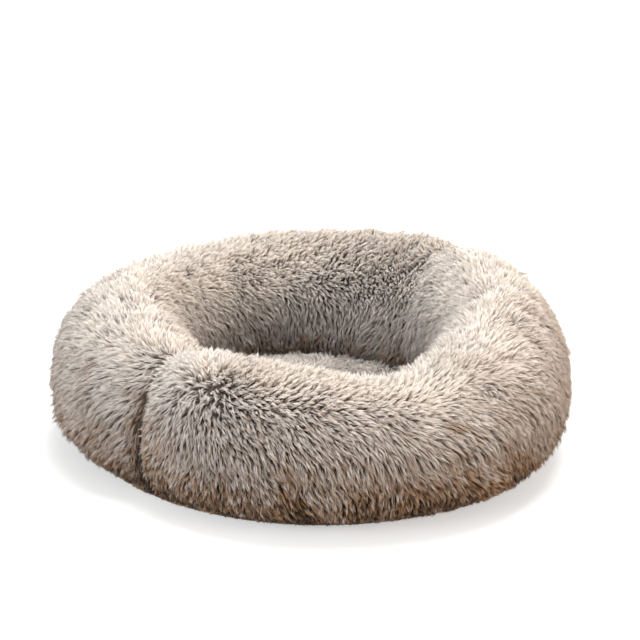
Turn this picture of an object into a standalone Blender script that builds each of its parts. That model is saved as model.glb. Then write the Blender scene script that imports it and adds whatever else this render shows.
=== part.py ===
"""Donut pet bed: a stuffed ring bolster round a crowned floor cushion, on a zipped base.

The ring's fur cover is two half-ring panels that meet at two drawn-in seams. It holds a lined
fibre ring, and the well holds a lined fibre pad under a fur panel. The base is two panels with
grip dots, closed by a zip whose teeth interlock. The slider runs along the zip and carries a
swinging pull. Metres, +Z up, the floor at zero, and the front of the bed towards -Y.
"""

import math

import bmesh
import bpy
import numpy as np

# Ring bolster, measured to the tips of the pile
OUTER_RADIUS = 0.300
OUTER_HALF_WIDTH = 0.086
INNER_HALF_WIDTH = 0.080
BOLSTER_HEIGHT = 0.186
BULGE_HEIGHT = 0.082
UNDERSIDE_POWER = 2.6

# Sags, swells and pulls of the stuffed ring: a length, the angle of its middle and its spread
FRONT_SAG = 0.020
FRONT_SAG_ANGLE = 260.0
FRONT_SAG_SPREAD = 70.0
CHIN_DIP = 0.026
CHIN_DIP_ANGLE = 300.0
CHIN_DIP_SPREAD = 26.0
LEFT_SAG = 0.008
LEFT_SAG_ANGLE = 142.0
LEFT_SAG_SPREAD = 26.0
RIGHT_SWELL = 0.018
RIGHT_SWELL_ANGLE = 31.0
RIGHT_SWELL_SPREAD = 42.0
FRONT_PULL = 0.015
FRONT_PULL_ANGLE = 234.0
FRONT_PULL_SPREAD = 21.0
FRONT_BULGE = 0.006
FRONT_BULGE_ANGLE = 312.0
FRONT_BULGE_SPREAD = 20.0

# Seams between the two half-ring panels, the rear one drawn in by a share of the front one
FRONT_SEAM_ANGLE = 228.0
REAR_SEAM_ANGLE = 41.0
SEAM_SPREAD = 6.5
SEAM_PINCH = 0.014
SEAM_PINCH_INSIDE = 0.009
REAR_PINCH_SHARE = 0.55

# Layers, and the gaps that keep touching or loosely filled pieces apart
COVER_THICKNESS = 0.014
LINER_THICKNESS = 0.0010
SEAT_GAP = 0.0003
LAYER_SLACK = 0.0022
SLIT_LENGTH = 0.120
SLIT_ANGLE = 90.0
SLIT_WIDTH = 0.004

# Floor of the well
WELL_RIM_HEIGHT = 0.0542
WELL_CROWN = 0.008
WELL_COVER_THICKNESS = 0.012
PAD_FOOT_WIDTH = 0.010
PAD_CORNER_RISE = 0.0045

# Base panels with grip dots
PANEL_THICKNESS = 0.0015
BASE_HEM = 0.0020
SLOPE_WIDTH = 0.022
DOT_HEIGHT = 0.0012
DOT_RADIUS = 0.005
DOT_PITCH = 0.050
DOT_EDGE_MARGIN = 0.004
DOT_SIDES = 6
DOT_FOOT_SHARE = 0.72

# Zip: tapes with a beaded edge, moulded teeth and end stops
RAISED_EDGE_CLEARANCE = 0.01822
ZIP_END_LENGTH = 0.0055
SLOT_MARGIN = 0.0012
TAPE_WIDTH = 0.0130
TAPE_THICKNESS = 0.0006
BEAD_WIDTH = 0.0012
BEAD_THICKNESS = 0.0014
BEAD_SPACING = 0.0030
TOOTH_PITCH = 0.0034
TOOTH_THICKNESS = 0.0024
TOOTH_ROOT_WIDTH = 0.00090
TOOTH_HEAD_WIDTH = 0.00160
TOOTH_TIP_WIDTH = 0.00090
TOOTH_ROOT_DEPTH = 0.0009
TOOTH_HEAD_REACH = 0.0004
TOOTH_TIP_REACH = 0.0008
STOP_LENGTH = 0.0020
BOTTOM_STOP_LENGTH = 0.0030
STOP_JAW = 0.0008

# Slider and pull
SLIDER_LENGTH = 0.0125
SLIDER_PLATE = 0.0012
SLIDER_FLANGE = 0.0010
SLIDER_MOUTH_FLARE = 0.0007
SLIDER_CORNER = 0.0012
RUNNING_GAP = 0.0003
DIAMOND_LENGTH = 0.0042
DIAMOND_WIDTH = 0.0022
BRIDGE_LENGTH = 0.0086
BRIDGE_WIDTH = 0.0018
BRIDGE_BAR = 0.0011
BRIDGE_ROOM = 0.0018
ZIP_FLOOR_CLEARANCE = 0.0015
PULL_THICKNESS = 0.0012
PULL_LENGTH = 0.026
PULL_WIDTH = 0.0070
PULL_ARM = 0.0012
PULL_EYE_CLEARANCE = 0.0004
PULL_HOLE_LENGTH = 0.0062
PULL_TAPER = 0.0110
PULL_GRIP_COUNT = 3
PULL_GRIP_WIDTH = 0.0008
PULL_GRIP_DEPTH = 0.0003
PULL_GRIP_PITCH = 0.0030

# Meshing: how many steps the soft forms and round pieces are made of
HALF_RING_STEPS = 26
STEP_CROWDING_SHARE = 0.50
COVER_OUTSIDE_POINTS = 18
COVER_INSIDE_POINTS = 10
PAD_STEPS = 32
BASE_STEPS = 48
CUTTER_OVERRUN = 0.010
MERGE_DISTANCE = 0.00001
PULL_TIP_STEPS = 4
SMOOTH_ANGLE = 40.0
CROWN_RADIUS_SHARES = (0.0, 0.40, 0.70, 0.90, 1.0)
SIDE_HEIGHT_SHARES = (0.33, 0.67)
SLOPE_SHARES = (0.0, 0.5, 1.0)

# Worked out from the sizes above
RING_RADIUS = OUTER_RADIUS - OUTER_HALF_WIDTH
BASE_TOP = DOT_HEIGHT + PANEL_THICKNESS
INSIDE_FLOOR = BASE_TOP + SEAT_GAP
BEAD_FRONT = BEAD_SPACING / 2
BEAD_BACK = BEAD_FRONT + BEAD_WIDTH
CHANNEL_HALF_HEIGHT = TOOTH_THICKNESS / 2 + RUNNING_GAP
CHANNEL_HALF_WIDTH = BEAD_BACK + RUNNING_GAP
SLIDER_HALF_HEIGHT = CHANNEL_HALF_HEIGHT + SLIDER_PLATE
SLIDER_HALF_WIDTH = CHANNEL_HALF_WIDTH + SLIDER_FLANGE + SLIDER_MOUTH_FLARE
BRIDGE_DEPTH = BRIDGE_ROOM + BRIDGE_BAR
CHAIN_HEIGHT = ZIP_FLOOR_CLEARANCE + SLIDER_HALF_HEIGHT + BRIDGE_DEPTH
RAISED_TOP = CHAIN_HEIGHT - TAPE_THICKNESS / 2 - SEAT_GAP
SLOT_HALF_WIDTH = SLIDER_HALF_WIDTH + SLOT_MARGIN
TAPE_BACK = BEAD_FRONT + TAPE_WIDTH
LINING_DROP_SHARE = ((BULGE_HEIGHT - RAISED_TOP) / (BULGE_HEIGHT - INSIDE_FLOOR)) ** (UNDERSIDE_POWER / 2)
LINING_REACH_SHARE = (1.0 - LINING_DROP_SHARE**2) ** (1.0 / UNDERSIDE_POWER)
LINING_HALF_WIDTH = INNER_HALF_WIDTH - COVER_THICKNESS - LAYER_SLACK
LINING_FOOT_RADIUS = RING_RADIUS - LINING_HALF_WIDTH * LINING_REACH_SHARE
RAISED_RADIUS = LINING_FOOT_RADIUS - RAISED_EDGE_CLEARANCE
PAD_FOOT_RADIUS = RAISED_RADIUS - PAD_FOOT_WIDTH
TAPE_HALF_LENGTH = math.sqrt((PAD_FOOT_RADIUS - LAYER_SLACK) ** 2 - TAPE_BACK**2)
ZIP_LENGTH = 2 * (TAPE_HALF_LENGTH - ZIP_END_LENGTH)
SLOT_HALF_LENGTH = TAPE_HALF_LENGTH + SEAT_GAP
PAD_UNDERSIDE = CHAIN_HEIGHT + SLIDER_HALF_HEIGHT + RUNNING_GAP
TOP_STOP_X = ZIP_LENGTH / 2 - STOP_LENGTH
BOTTOM_STOP_X = -ZIP_LENGTH / 2
SLIDER_REST_X = TOP_STOP_X - SEAT_GAP - SLIDER_LENGTH / 2
SLIDER_TRAVEL = SLIDER_REST_X - BOTTOM_STOP_X - BOTTOM_STOP_LENGTH - SEAT_GAP - SLIDER_LENGTH / 2


def clear_scene():
    """Remove every object that the scene starts with."""
    for obj in list(bpy.data.objects):
        bpy.data.objects.remove(obj, do_unlink=True)


def make_material(name, colour, roughness, metallic=0.0):
    """Return a Principled material of one plain colour (linear RGB)."""
    material = bpy.data.materials.new(name)
    material.use_nodes = True
    shader = material.node_tree.nodes["Principled BSDF"]
    shader.inputs["Base Color"].default_value = (*colour, 1.0)
    shader.inputs["Roughness"].default_value = roughness
    shader.inputs["Metallic"].default_value = metallic
    material.diffuse_color = (*colour, 1.0)
    return material


def add_object(name, bm, material=None, smooth_angle=None):
    """Turn a bmesh into a named object in the scene."""
    mesh = bpy.data.meshes.new(name)
    bmesh.ops.recalc_face_normals(bm, faces=bm.faces)
    bm.to_mesh(mesh)
    bm.free()
    if smooth_angle is not None:
        mesh.shade_smooth()
        mesh.set_sharp_from_angle(angle=math.radians(smooth_angle))
    obj = bpy.data.objects.new(name, mesh)
    bpy.context.scene.collection.objects.link(obj)
    if material is not None:
        mesh.materials.append(material)
    return obj


def as_cutter(obj):
    """Keep a helper object out of the build and the render."""
    obj.hide_render = True
    obj.display_type = "WIRE"
    return obj


def add_boolean(obj, other, operation):
    """Cut or join another object with the exact solver."""
    modifier = obj.modifiers.new(operation.lower() + "_" + other.name, "BOOLEAN")
    modifier.operation = operation
    modifier.solver = "EXACT"
    modifier.object = other


def box_bmesh(low, high):
    """Return a bmesh of the axis-aligned box between two corners."""
    bm = bmesh.new()
    bmesh.ops.create_cube(bm, size=1.0)
    low = np.array(low)
    high = np.array(high)
    bmesh.ops.scale(bm, vec=high - low, verts=bm.verts)
    bmesh.ops.translate(bm, vec=(low + high) / 2, verts=bm.verts)
    return bm


def prism_bmesh(outline, axis, low, high):
    """Extrude a closed outline of 2-D points along X, Y or Z from low to high."""
    order = {"x": (2, 0, 1), "y": (0, 2, 1), "z": (0, 1, 2)}[axis]
    bm = bmesh.new()
    ends = []
    for level in (low, high):
        corners = [(*point, level) for point in outline]
        ends.append([bm.verts.new([corner[i] for i in order]) for corner in corners])
    bm.faces.new(ends[0])
    bm.faces.new(ends[1])
    for i in range(len(outline)):
        j = (i + 1) % len(outline)
        bm.faces.new((ends[0][i], ends[0][j], ends[1][j], ends[1][i]))
    return bm


def spread_bump(angles, middle, spread):
    """Return a smooth bump of height 1 at an angle, with the spread in degrees."""
    offset = (np.asarray(angles) - middle + 180.0) % 360.0 - 180.0
    return np.exp(-((offset / spread) ** 2))


def seam_bump(angles):
    """Return the drawing-in at either seam, 1 at the front one, falling away beside it."""
    front = spread_bump(angles, FRONT_SEAM_ANGLE, SEAM_SPREAD)
    return front + REAR_PINCH_SHARE * spread_bump(angles, REAR_SEAM_ANGLE, SEAM_SPREAD)


def half_ring_angles(start, end):
    """Return the angles of a half ring's sections, crowded towards the seams at its ends."""
    steps = np.linspace(0.0, 1.0, HALF_RING_STEPS + 1)
    crowding = STEP_CROWDING_SHARE * np.sin(2 * math.pi * steps) / (2 * math.pi)
    return start + (end - start) % 360.0 * (steps - crowding)


def ring_angles():
    """Return the section angles of the whole ring, the same as both halves' together."""
    front = half_ring_angles(FRONT_SEAM_ANGLE, REAR_SEAM_ANGLE)
    rear = half_ring_angles(REAR_SEAM_ANGLE, FRONT_SEAM_ANGLE)
    return np.concatenate([front[:-1], rear[:-1]])


def ring_points(angles, turns, inset, floor, pinch):
    """Return the points of one layer of the ring, by section angle and by turn.

    A turn of 0 degrees is the outermost line, 90 the crest, 180 the innermost line and 270
    the underside. The upper half of a section is elliptic and the lower half is flattened
    onto the floor as a superellipse. The inset is the layer's depth under the pile's tips.
    """
    angles = np.asarray(angles)[:, None]
    turns = np.radians(np.asarray(turns))[None, :]
    depth = inset + pinch * seam_bump(angles)
    outer = (
        OUTER_HALF_WIDTH
        + FRONT_BULGE * spread_bump(angles, FRONT_BULGE_ANGLE, FRONT_BULGE_SPREAD)
        - FRONT_PULL * spread_bump(angles, FRONT_PULL_ANGLE, FRONT_PULL_SPREAD)
    )
    crest = (
        BOLSTER_HEIGHT
        + RIGHT_SWELL * spread_bump(angles, RIGHT_SWELL_ANGLE, RIGHT_SWELL_SPREAD)
        - FRONT_SAG * spread_bump(angles, FRONT_SAG_ANGLE, FRONT_SAG_SPREAD)
        - CHIN_DIP * spread_bump(angles, CHIN_DIP_ANGLE, CHIN_DIP_SPREAD)
        - LEFT_SAG * spread_bump(angles, LEFT_SAG_ANGLE, LEFT_SAG_SPREAD)
    )
    across = np.cos(turns)
    up = np.sin(turns)
    power = np.where(up < 0, 2 / UNDERSIDE_POWER, 1.0)
    half_width = np.where(across > 0, outer, INNER_HALF_WIDTH) - depth
    radius = RING_RADIUS + half_width * np.sign(across) * np.abs(across) ** power
    above = (crest - BULGE_HEIGHT - depth) * np.maximum(up, 0)
    below = (BULGE_HEIGHT - floor) * np.abs(np.minimum(up, 0)) ** power
    height = BULGE_HEIGHT + above - below
    around = np.radians(angles)
    return np.stack([radius * np.cos(around), radius * np.sin(around), height], axis=-1)


def turn_below_bulge(height, floor):
    """Return how many degrees past the bulge line a layer comes down to a height."""
    share = (BULGE_HEIGHT - height) / (BULGE_HEIGHT - floor)
    return math.degrees(math.asin(share ** (UNDERSIDE_POWER / 2)))


def layer_half_width_share(height, floor):
    """Return which share of its half width a layer has at a height under the bulge."""
    turn = math.radians(turn_below_bulge(height, floor))
    return math.cos(turn) ** (2 / UNDERSIDE_POWER)


def cover_turns(count, floor):
    """Return the turns of a cover surface, from the base edge over the crest to the well."""
    start = -turn_below_bulge(INSIDE_FLOOR, floor)
    end = 180.0 + turn_below_bulge(WELL_RIM_HEIGHT + SEAT_GAP, floor)
    return np.linspace(start, end, count)


def loft(rows, closed_rows):
    """Skin rows of points, each row a closed section, into a bmesh.

    Rows that don't close on the first again get an end cap each.
    """
    bm = bmesh.new()
    verts = [[bm.verts.new(point) for point in row] for row in rows]
    pairs = list(zip(verts, verts[1:]))
    if closed_rows:
        pairs.append((verts[-1], verts[0]))
    else:
        bm.faces.new(verts[0])
        bm.faces.new(verts[-1])
    for first, second in pairs:
        for i in range(len(first)):
            j = (i + 1) % len(first)
            bm.faces.new((first[i], first[j], second[j], second[i]))
    return bm


def make_bolster_cover(name, start, end, material):
    """Make one half-ring fur panel between two seams, open towards the base and the well."""
    angles = half_ring_angles(start, end)
    outside = ring_points(angles, cover_turns(COVER_OUTSIDE_POINTS, 0.0), 0.0, 0.0, SEAM_PINCH)
    inner_turns = cover_turns(COVER_INSIDE_POINTS, BASE_TOP)
    inside = ring_points(angles, inner_turns, COVER_THICKNESS, BASE_TOP, SEAM_PINCH_INSIDE)
    sections = np.concatenate([outside, inside[:, ::-1]], axis=1)
    away = math.radians((angles[0] + angles[-1]) / 2)
    shift = np.array([math.cos(away), math.sin(away), 0.0]) * SEAT_GAP / 2
    return add_object(name, loft(sections + shift, False), material, SMOOTH_ANGLE)


def liner_turns(with_slit):
    """Return the turns of the ring's liner or filling, right round the section."""
    turns = cover_turns(COVER_INSIDE_POINTS, BASE_TOP)
    slit_share = SLIT_WIDTH / 2 / (OUTER_HALF_WIDTH - COVER_THICKNESS)
    half_slit = math.degrees(math.asin(slit_share ** (UNDERSIDE_POWER / 2)))
    inner_edge = (turns[-1] + 270.0) / 2
    bottom = [inner_edge, 270.0 - half_slit, 270.0 + half_slit]
    if not with_slit:
        bottom = [inner_edge, 270.0]
    return np.concatenate([turns, bottom])


def make_bolster_liner(material):
    """Make the ring's lining, a closed tube but for the slit that it is stuffed through."""
    angles = ring_angles()
    turns = liner_turns(True)
    inset = COVER_THICKNESS + LAYER_SLACK
    points = ring_points(angles, turns, inset, INSIDE_FLOOR, SEAM_PINCH_INSIDE)
    bm = loft(points, True)
    bm.faces.ensure_lookup_table()
    slit_half_angle = math.degrees(SLIT_LENGTH / RING_RADIUS) / 2
    slit_column = len(turns) - 2
    removed = []
    for k, angle in enumerate(angles):
        following = angles[(k + 1) % len(angles)]
        middle = angle + ((following - angle) % 360.0) / 2
        if abs((middle - SLIT_ANGLE + 180.0) % 360.0 - 180.0) < slit_half_angle:
            removed.append(bm.faces[k * len(turns) + slit_column])
    bmesh.ops.delete(bm, geom=removed, context="FACES_ONLY")
    obj = add_object("bolster_liner", bm, material, SMOOTH_ANGLE)
    shell = obj.modifiers.new("cloth_thickness", "SOLIDIFY")
    shell.thickness = LINER_THICKNESS
    shell.offset = -1.0
    return obj


def make_bolster_fill(material):
    """Make the ring's fibre filling, which lies loosely inside its lining."""
    inset = COVER_THICKNESS + LINER_THICKNESS + 2 * LAYER_SLACK
    floor = INSIDE_FLOOR + LINER_THICKNESS + SEAT_GAP
    points = ring_points(ring_angles(), liner_turns(False), inset, floor, SEAM_PINCH_INSIDE)
    return add_object("bolster_fill", loft(points, True), material, SMOOTH_ANGLE)


def crown_profile(radius, rim_height):
    """Return the crowned top's points as (radius, height), from the centre out to the rim."""
    profile = []
    for share in CROWN_RADIUS_SHARES:
        profile.append((radius * share, rim_height + WELL_CROWN * (1 - share**2)))
    return profile


def well_radius():
    """Return the well's clear radius where the ring's cover meets its floor."""
    share = layer_half_width_share(WELL_RIM_HEIGHT + SEAT_GAP, 0.0)
    return RING_RADIUS - INNER_HALF_WIDTH * share


def well_cover_radius():
    """Return the radius of the floor panel, which reaches under the ring cover's end face."""
    share = layer_half_width_share(WELL_RIM_HEIGHT + SEAT_GAP, BASE_TOP)
    return RING_RADIUS - (INNER_HALF_WIDTH - COVER_THICKNESS) * share - SEAT_GAP


def turned_object(name, profile, material, steps, smooth):
    """Turn a profile of (radius, height) points about Z with a Screw modifier."""
    mesh = bpy.data.meshes.new(name)
    points = [(radius, 0.0, height) for radius, height in profile]
    edges = [(i, i + 1) for i in range(len(points) - 1)]
    mesh.from_pydata(points, edges, [])
    obj = bpy.data.objects.new(name, mesh)
    bpy.context.scene.collection.objects.link(obj)
    mesh.materials.append(material)
    screw = obj.modifiers.new("turn", "SCREW")
    screw.steps = steps
    screw.render_steps = steps
    screw.use_merge_vertices = True
    screw.merge_threshold = MERGE_DISTANCE
    screw.use_smooth_shade = smooth
    return obj


def make_well_cover(material):
    """Make the fur panel that floors the well, crowned by the pad under it."""
    top = crown_profile(well_radius(), WELL_RIM_HEIGHT)
    rim = well_cover_radius()
    bottom = [(radius, height - WELL_COVER_THICKNESS) for radius, height in top]
    edge = [(rim, WELL_RIM_HEIGHT), (rim, WELL_RIM_HEIGHT - WELL_COVER_THICKNESS)]
    profile = top + edge + bottom[::-1]
    return turned_object("well_cover", profile, material, PAD_STEPS, True)


def pad_profile(inset, side_inset):
    """Return the pad's profile, from the centre of its top round to the centre underneath.

    The top follows the floor panel, the side follows the ring's lining, and the foot is a
    ring that rests on the raised base and keeps the middle clear of the zip.
    """
    rim_top = WELL_RIM_HEIGHT - WELL_COVER_THICKNESS - SEAT_GAP - inset
    top = crown_profile(well_radius(), rim_top)
    foot = RAISED_TOP + SEAT_GAP + inset
    corner = foot + PAD_CORNER_RISE
    slack = LAYER_SLACK + side_inset
    side = []
    for share in (1.0, *SIDE_HEIGHT_SHARES[::-1], 0.0):
        height = corner + (rim_top - corner) * share
        reach = LINING_HALF_WIDTH * layer_half_width_share(height, INSIDE_FLOOR)
        side.append((RING_RADIUS - reach - slack, height))
    heel = min(RAISED_RADIUS - side_inset, side[-1][0])
    toe = PAD_FOOT_RADIUS + side_inset
    arch = PAD_UNDERSIDE + inset
    under = [(heel, foot), (toe, foot), (toe - (arch - foot), arch), (0.0, arch)]
    return top + side + under


def make_centre_liner(material):
    """Make the pad's lining, a closed bag but for the slit that it is stuffed through."""
    outer = turned_object("centre_liner", pad_profile(0.0, 0.0), material, PAD_STEPS, True)
    shell = outer.modifiers.new("cloth_thickness", "SOLIDIFY")
    shell.thickness = LINER_THICKNESS
    shell.offset = -1.0
    slit_middle = (WELL_RIM_HEIGHT - WELL_COVER_THICKNESS + RAISED_TOP) / 2
    low = (-SLIT_LENGTH / 4, PAD_FOOT_RADIUS / 2, slit_middle - SLIT_WIDTH / 2)
    high = (SLIT_LENGTH / 4, RAISED_RADIUS + CUTTER_OVERRUN, slit_middle + SLIT_WIDTH / 2)
    cutter = as_cutter(add_object("slit_cutter", box_bmesh(low, high)))
    add_boolean(outer, cutter, "DIFFERENCE")
    return outer


def make_centre_fill(material):
    """Make the pad's fibre filling, a little inside its lining."""
    inset = LINER_THICKNESS + SEAT_GAP
    side_inset = LINER_THICKNESS + LAYER_SLACK
    profile = pad_profile(inset, side_inset)
    return turned_object("centre_fill", profile, material, PAD_STEPS, True)


def base_radius():
    """Return the base's radius, a hem's width beyond the ring cover's lower edge."""
    share = layer_half_width_share(INSIDE_FLOOR, 0.0)
    return RING_RADIUS + OUTER_HALF_WIDTH * share + BASE_HEM


def base_profile():
    """Return the base's profile: flat under the ring, then up to the raised middle."""
    rise = RAISED_TOP - BASE_TOP
    top = [(0.0, RAISED_TOP)]
    for share in SLOPE_SHARES:
        eased = share * share * (3 - 2 * share)
        top.append((RAISED_RADIUS + SLOPE_WIDTH * share, RAISED_TOP - rise * eased))
    top.append((base_radius(), BASE_TOP))
    bottom = [(radius, height - PANEL_THICKNESS) for radius, height in top]
    return top + bottom[::-1]


def dot_places(side):
    """Return each grip dot's centre and foot height, on staggered rows of one base panel."""
    places = []
    row_pitch = DOT_PITCH * math.sqrt(3) / 2
    rows = int(base_radius() / row_pitch) + 1
    for row in range(rows):
        y = side * (row + 0.5) * row_pitch
        stagger = DOT_PITCH / 2 * (row % 2)
        columns = int(base_radius() / DOT_PITCH) + 1
        for column in range(-columns, columns + 1):
            x = column * DOT_PITCH + stagger
            radius = math.hypot(x, y)
            reach = radius + DOT_RADIUS + DOT_EDGE_MARGIN
            if reach < RAISED_RADIUS:
                places.append((x, y, RAISED_TOP - BASE_TOP))
            elif reach < base_radius() and radius - DOT_RADIUS > RAISED_RADIUS + SLOPE_WIDTH:
                places.append((x, y, 0.0))
    return places


def make_dots(name, side):
    """Make one panel's grip dots as a helper object of separate low frusta."""
    bm = bmesh.new()
    depth = DOT_HEIGHT + PANEL_THICKNESS / 2
    for x, y, foot in dot_places(side):
        made = bmesh.ops.create_cone(
            bm,
            cap_ends=True,
            segments=DOT_SIDES,
            radius1=DOT_RADIUS * DOT_FOOT_SHARE,
            radius2=DOT_RADIUS,
            depth=depth,
        )
        bmesh.ops.translate(bm, vec=(x, y, foot + depth / 2), verts=made["verts"])
    return as_cutter(add_object(name, bm))


def make_base_panel(name, side, material):
    """Make one base panel: half of the base, slotted for the zip, with its grip dots."""
    panel = turned_object(name, base_profile(), material, BASE_STEPS, False)
    far = base_radius() + CUTTER_OVERRUN
    top = RAISED_TOP + CUTTER_OVERRUN
    edge = side * SEAT_GAP / 2
    other_half = np.sort([edge, -side * far])
    half = box_bmesh((-far, other_half[0], -CUTTER_OVERRUN), (far, other_half[1], top))
    add_boolean(panel, as_cutter(add_object(name + "_half_cutter", half)), "DIFFERENCE")
    slot_y = np.sort([side * SLOT_HALF_WIDTH, -side * SLOT_HALF_WIDTH])
    slot = box_bmesh(
        (-SLOT_HALF_LENGTH, slot_y[0], -CUTTER_OVERRUN), (SLOT_HALF_LENGTH, slot_y[1], top)
    )
    add_boolean(panel, as_cutter(add_object(name + "_slot_cutter", slot)), "DIFFERENCE")
    add_boolean(panel, make_dots(name + "_dots", side), "UNION")
    return panel


def tooth_outline(side):
    """Return one tooth's plan outline: a root in the bead, a wider head and a blunt tip."""
    root = BEAD_FRONT + TOOTH_ROOT_DEPTH
    half = [
        (TOOTH_ROOT_WIDTH / 2, side * root),
        (TOOTH_HEAD_WIDTH / 2, -side * TOOTH_HEAD_REACH),
        (TOOTH_TIP_WIDTH / 2, -side * TOOTH_TIP_REACH),
    ]
    return half + [(-x, y) for x, y in half[::-1]]


def make_zip_tape(name, side, material):
    """Make one side of the zip: tape, beaded edge and its row of moulded teeth."""
    half_tape = TAPE_THICKNESS / 2
    half_bead = BEAD_THICKNESS / 2
    section = [
        (side * BEAD_FRONT, -half_bead),
        (side * BEAD_BACK, -half_bead),
        (side * BEAD_BACK, -half_tape),
        (side * TAPE_BACK, -half_tape),
        (side * TAPE_BACK, half_tape),
        (side * BEAD_BACK, half_tape),
        (side * BEAD_BACK, half_bead),
        (side * BEAD_FRONT, half_bead),
    ]
    tape_bm = prism_bmesh(section, "x", -TAPE_HALF_LENGTH, TAPE_HALF_LENGTH)
    tape = add_object(name, tape_bm, material)
    tape.location.z = CHAIN_HEIGHT
    half_tooth = TOOTH_THICKNESS / 2
    teeth = add_object(name + "_teeth", prism_bmesh(tooth_outline(side), "z", -half_tooth, half_tooth))
    first = BOTTOM_STOP_X + BOTTOM_STOP_LENGTH + TOOTH_PITCH / 2 + TOOTH_PITCH / 4 * (1 - side)
    diamond_tip = SLIDER_REST_X + SLIDER_LENGTH / 2 - DIAMOND_LENGTH
    last = diamond_tip - RUNNING_GAP - TOOTH_HEAD_WIDTH / 2
    teeth.location = (first, 0.0, CHAIN_HEIGHT)
    row = teeth.modifiers.new("row", "ARRAY")
    row.count = int((last - first) / TOOTH_PITCH) + 1
    row.use_relative_offset = False
    row.use_constant_offset = True
    row.constant_offset_displace = (TOOTH_PITCH, 0.0, 0.0)
    add_boolean(tape, as_cutter(teeth), "UNION")
    return tape


def stop_section(side):
    """Return a top stop's section: a web beyond the bead's edge and a jaw on each face."""
    web_front = SEAT_GAP
    web_back = BEAD_FRONT - SEAT_GAP
    slot = BEAD_THICKNESS / 2 + SEAT_GAP
    outer = slot + STOP_JAW
    half = [(web_front, outer), (BEAD_BACK, outer), (BEAD_BACK, slot), (web_back, slot)]
    return [(side * y, z) for y, z in half + [(y, -z) for y, z in half[::-1]]]


def make_top_stop(name, side, material):
    """Make the stop that is clamped on one tape's bead at the zip's closed end."""
    stop = add_object(name, prism_bmesh(stop_section(side), "x", 0.0, STOP_LENGTH), material)
    stop.location = (TOP_STOP_X, 0.0, CHAIN_HEIGHT)
    return stop


def make_bottom_stop(material):
    """Make the stop that joins both beads at the zip's open end, an I in section."""
    web = BEAD_FRONT - SEAT_GAP
    slot = BEAD_THICKNESS / 2 + SEAT_GAP
    outer = slot + STOP_JAW
    quarter = [(BEAD_BACK, outer), (BEAD_BACK, slot), (web, slot)]
    upper = quarter + [(y, -z) for y, z in quarter[::-1]]
    section = upper + [(-y, z) for y, z in upper[::-1]]
    stop = add_object("zip_bottom_stop", prism_bmesh(section, "x", 0.0, BOTTOM_STOP_LENGTH), material)
    stop.location = (BOTTOM_STOP_X, 0.0, CHAIN_HEIGHT)
    return stop


def plate_outline(flare):
    """Return the slider plates' outline: narrow at the rear, flared at the mouth."""
    rear = -SLIDER_LENGTH / 2
    front = SLIDER_LENGTH / 2
    narrow = CHANNEL_HALF_WIDTH + SLIDER_FLANGE
    wide = narrow + flare
    cut = SLIDER_CORNER
    half = [
        (rear, narrow - cut),
        (rear + cut, narrow),
        (0.0, narrow),
        (cut, wide),
        (front - cut, wide),
        (front, wide - cut),
    ]
    return half + [(x, -y) for x, y in half[::-1]]


def make_slider(material):
    """Make the slider: two plates, side flanges, the diamond between them and the bridge."""
    outline = plate_outline(SLIDER_MOUTH_FLARE)
    top = SLIDER_HALF_HEIGHT
    body = add_object("zip_slider", prism_bmesh(outline, "z", -top, top), material)
    body.location = (SLIDER_REST_X, 0.0, CHAIN_HEIGHT)
    far = SLIDER_LENGTH / 2 + CUTTER_OVERRUN
    inner = CHANNEL_HALF_WIDTH
    mouth = inner + SLIDER_MOUTH_FLARE
    channel_outline = [(-far, -inner), (0.0, -inner), (SLIDER_CORNER, -mouth), (far, -mouth)]
    channel_outline += [(x, -y) for x, y in channel_outline[::-1]]
    high = CHANNEL_HALF_HEIGHT
    channel = add_object("slider_channel_cutter", prism_bmesh(channel_outline, "z", -high, high))
    slot = TAPE_THICKNESS / 2 + RUNNING_GAP
    wide = SLIDER_HALF_WIDTH + CUTTER_OVERRUN
    gap = add_object("slider_tape_cutter", box_bmesh((-far, -wide, -slot), (far, wide, slot)))
    front = SLIDER_LENGTH / 2
    diamond_outline = [
        (front - DIAMOND_LENGTH, 0.0),
        (front - DIAMOND_LENGTH / 2, DIAMOND_WIDTH / 2),
        (front, DIAMOND_WIDTH / 4),
        (front, -DIAMOND_WIDTH / 4),
        (front - DIAMOND_LENGTH / 2, -DIAMOND_WIDTH / 2),
    ]
    inside_plates = CHANNEL_HALF_HEIGHT + SLIDER_PLATE / 2
    diamond_bm = prism_bmesh(diamond_outline, "z", -inside_plates, inside_plates)
    diamond = add_object("slider_diamond", diamond_bm)
    half_bridge = BRIDGE_LENGTH / 2
    foot = -top + SLIDER_PLATE / 2
    crown = -top - BRIDGE_DEPTH
    corner = BRIDGE_BAR
    arch = [
        (-half_bridge, foot),
        (-half_bridge, crown + corner),
        (-half_bridge + corner, crown),
        (half_bridge - corner, crown),
        (half_bridge, crown + corner),
        (half_bridge, foot),
        (half_bridge - BRIDGE_BAR, foot),
        (half_bridge - BRIDGE_BAR, crown + BRIDGE_BAR),
        (-half_bridge + BRIDGE_BAR, crown + BRIDGE_BAR),
        (-half_bridge + BRIDGE_BAR, foot),
    ]
    half_width = BRIDGE_WIDTH / 2
    bridge = add_object("slider_bridge", prism_bmesh(arch, "y", -half_width, half_width))
    steps = ((channel, "DIFFERENCE"), (gap, "DIFFERENCE"), (diamond, "UNION"), (bridge, "UNION"))
    for helper, operation in steps:
        helper.location = body.location
        add_boolean(body, as_cutter(helper), operation)
    return body


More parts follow.
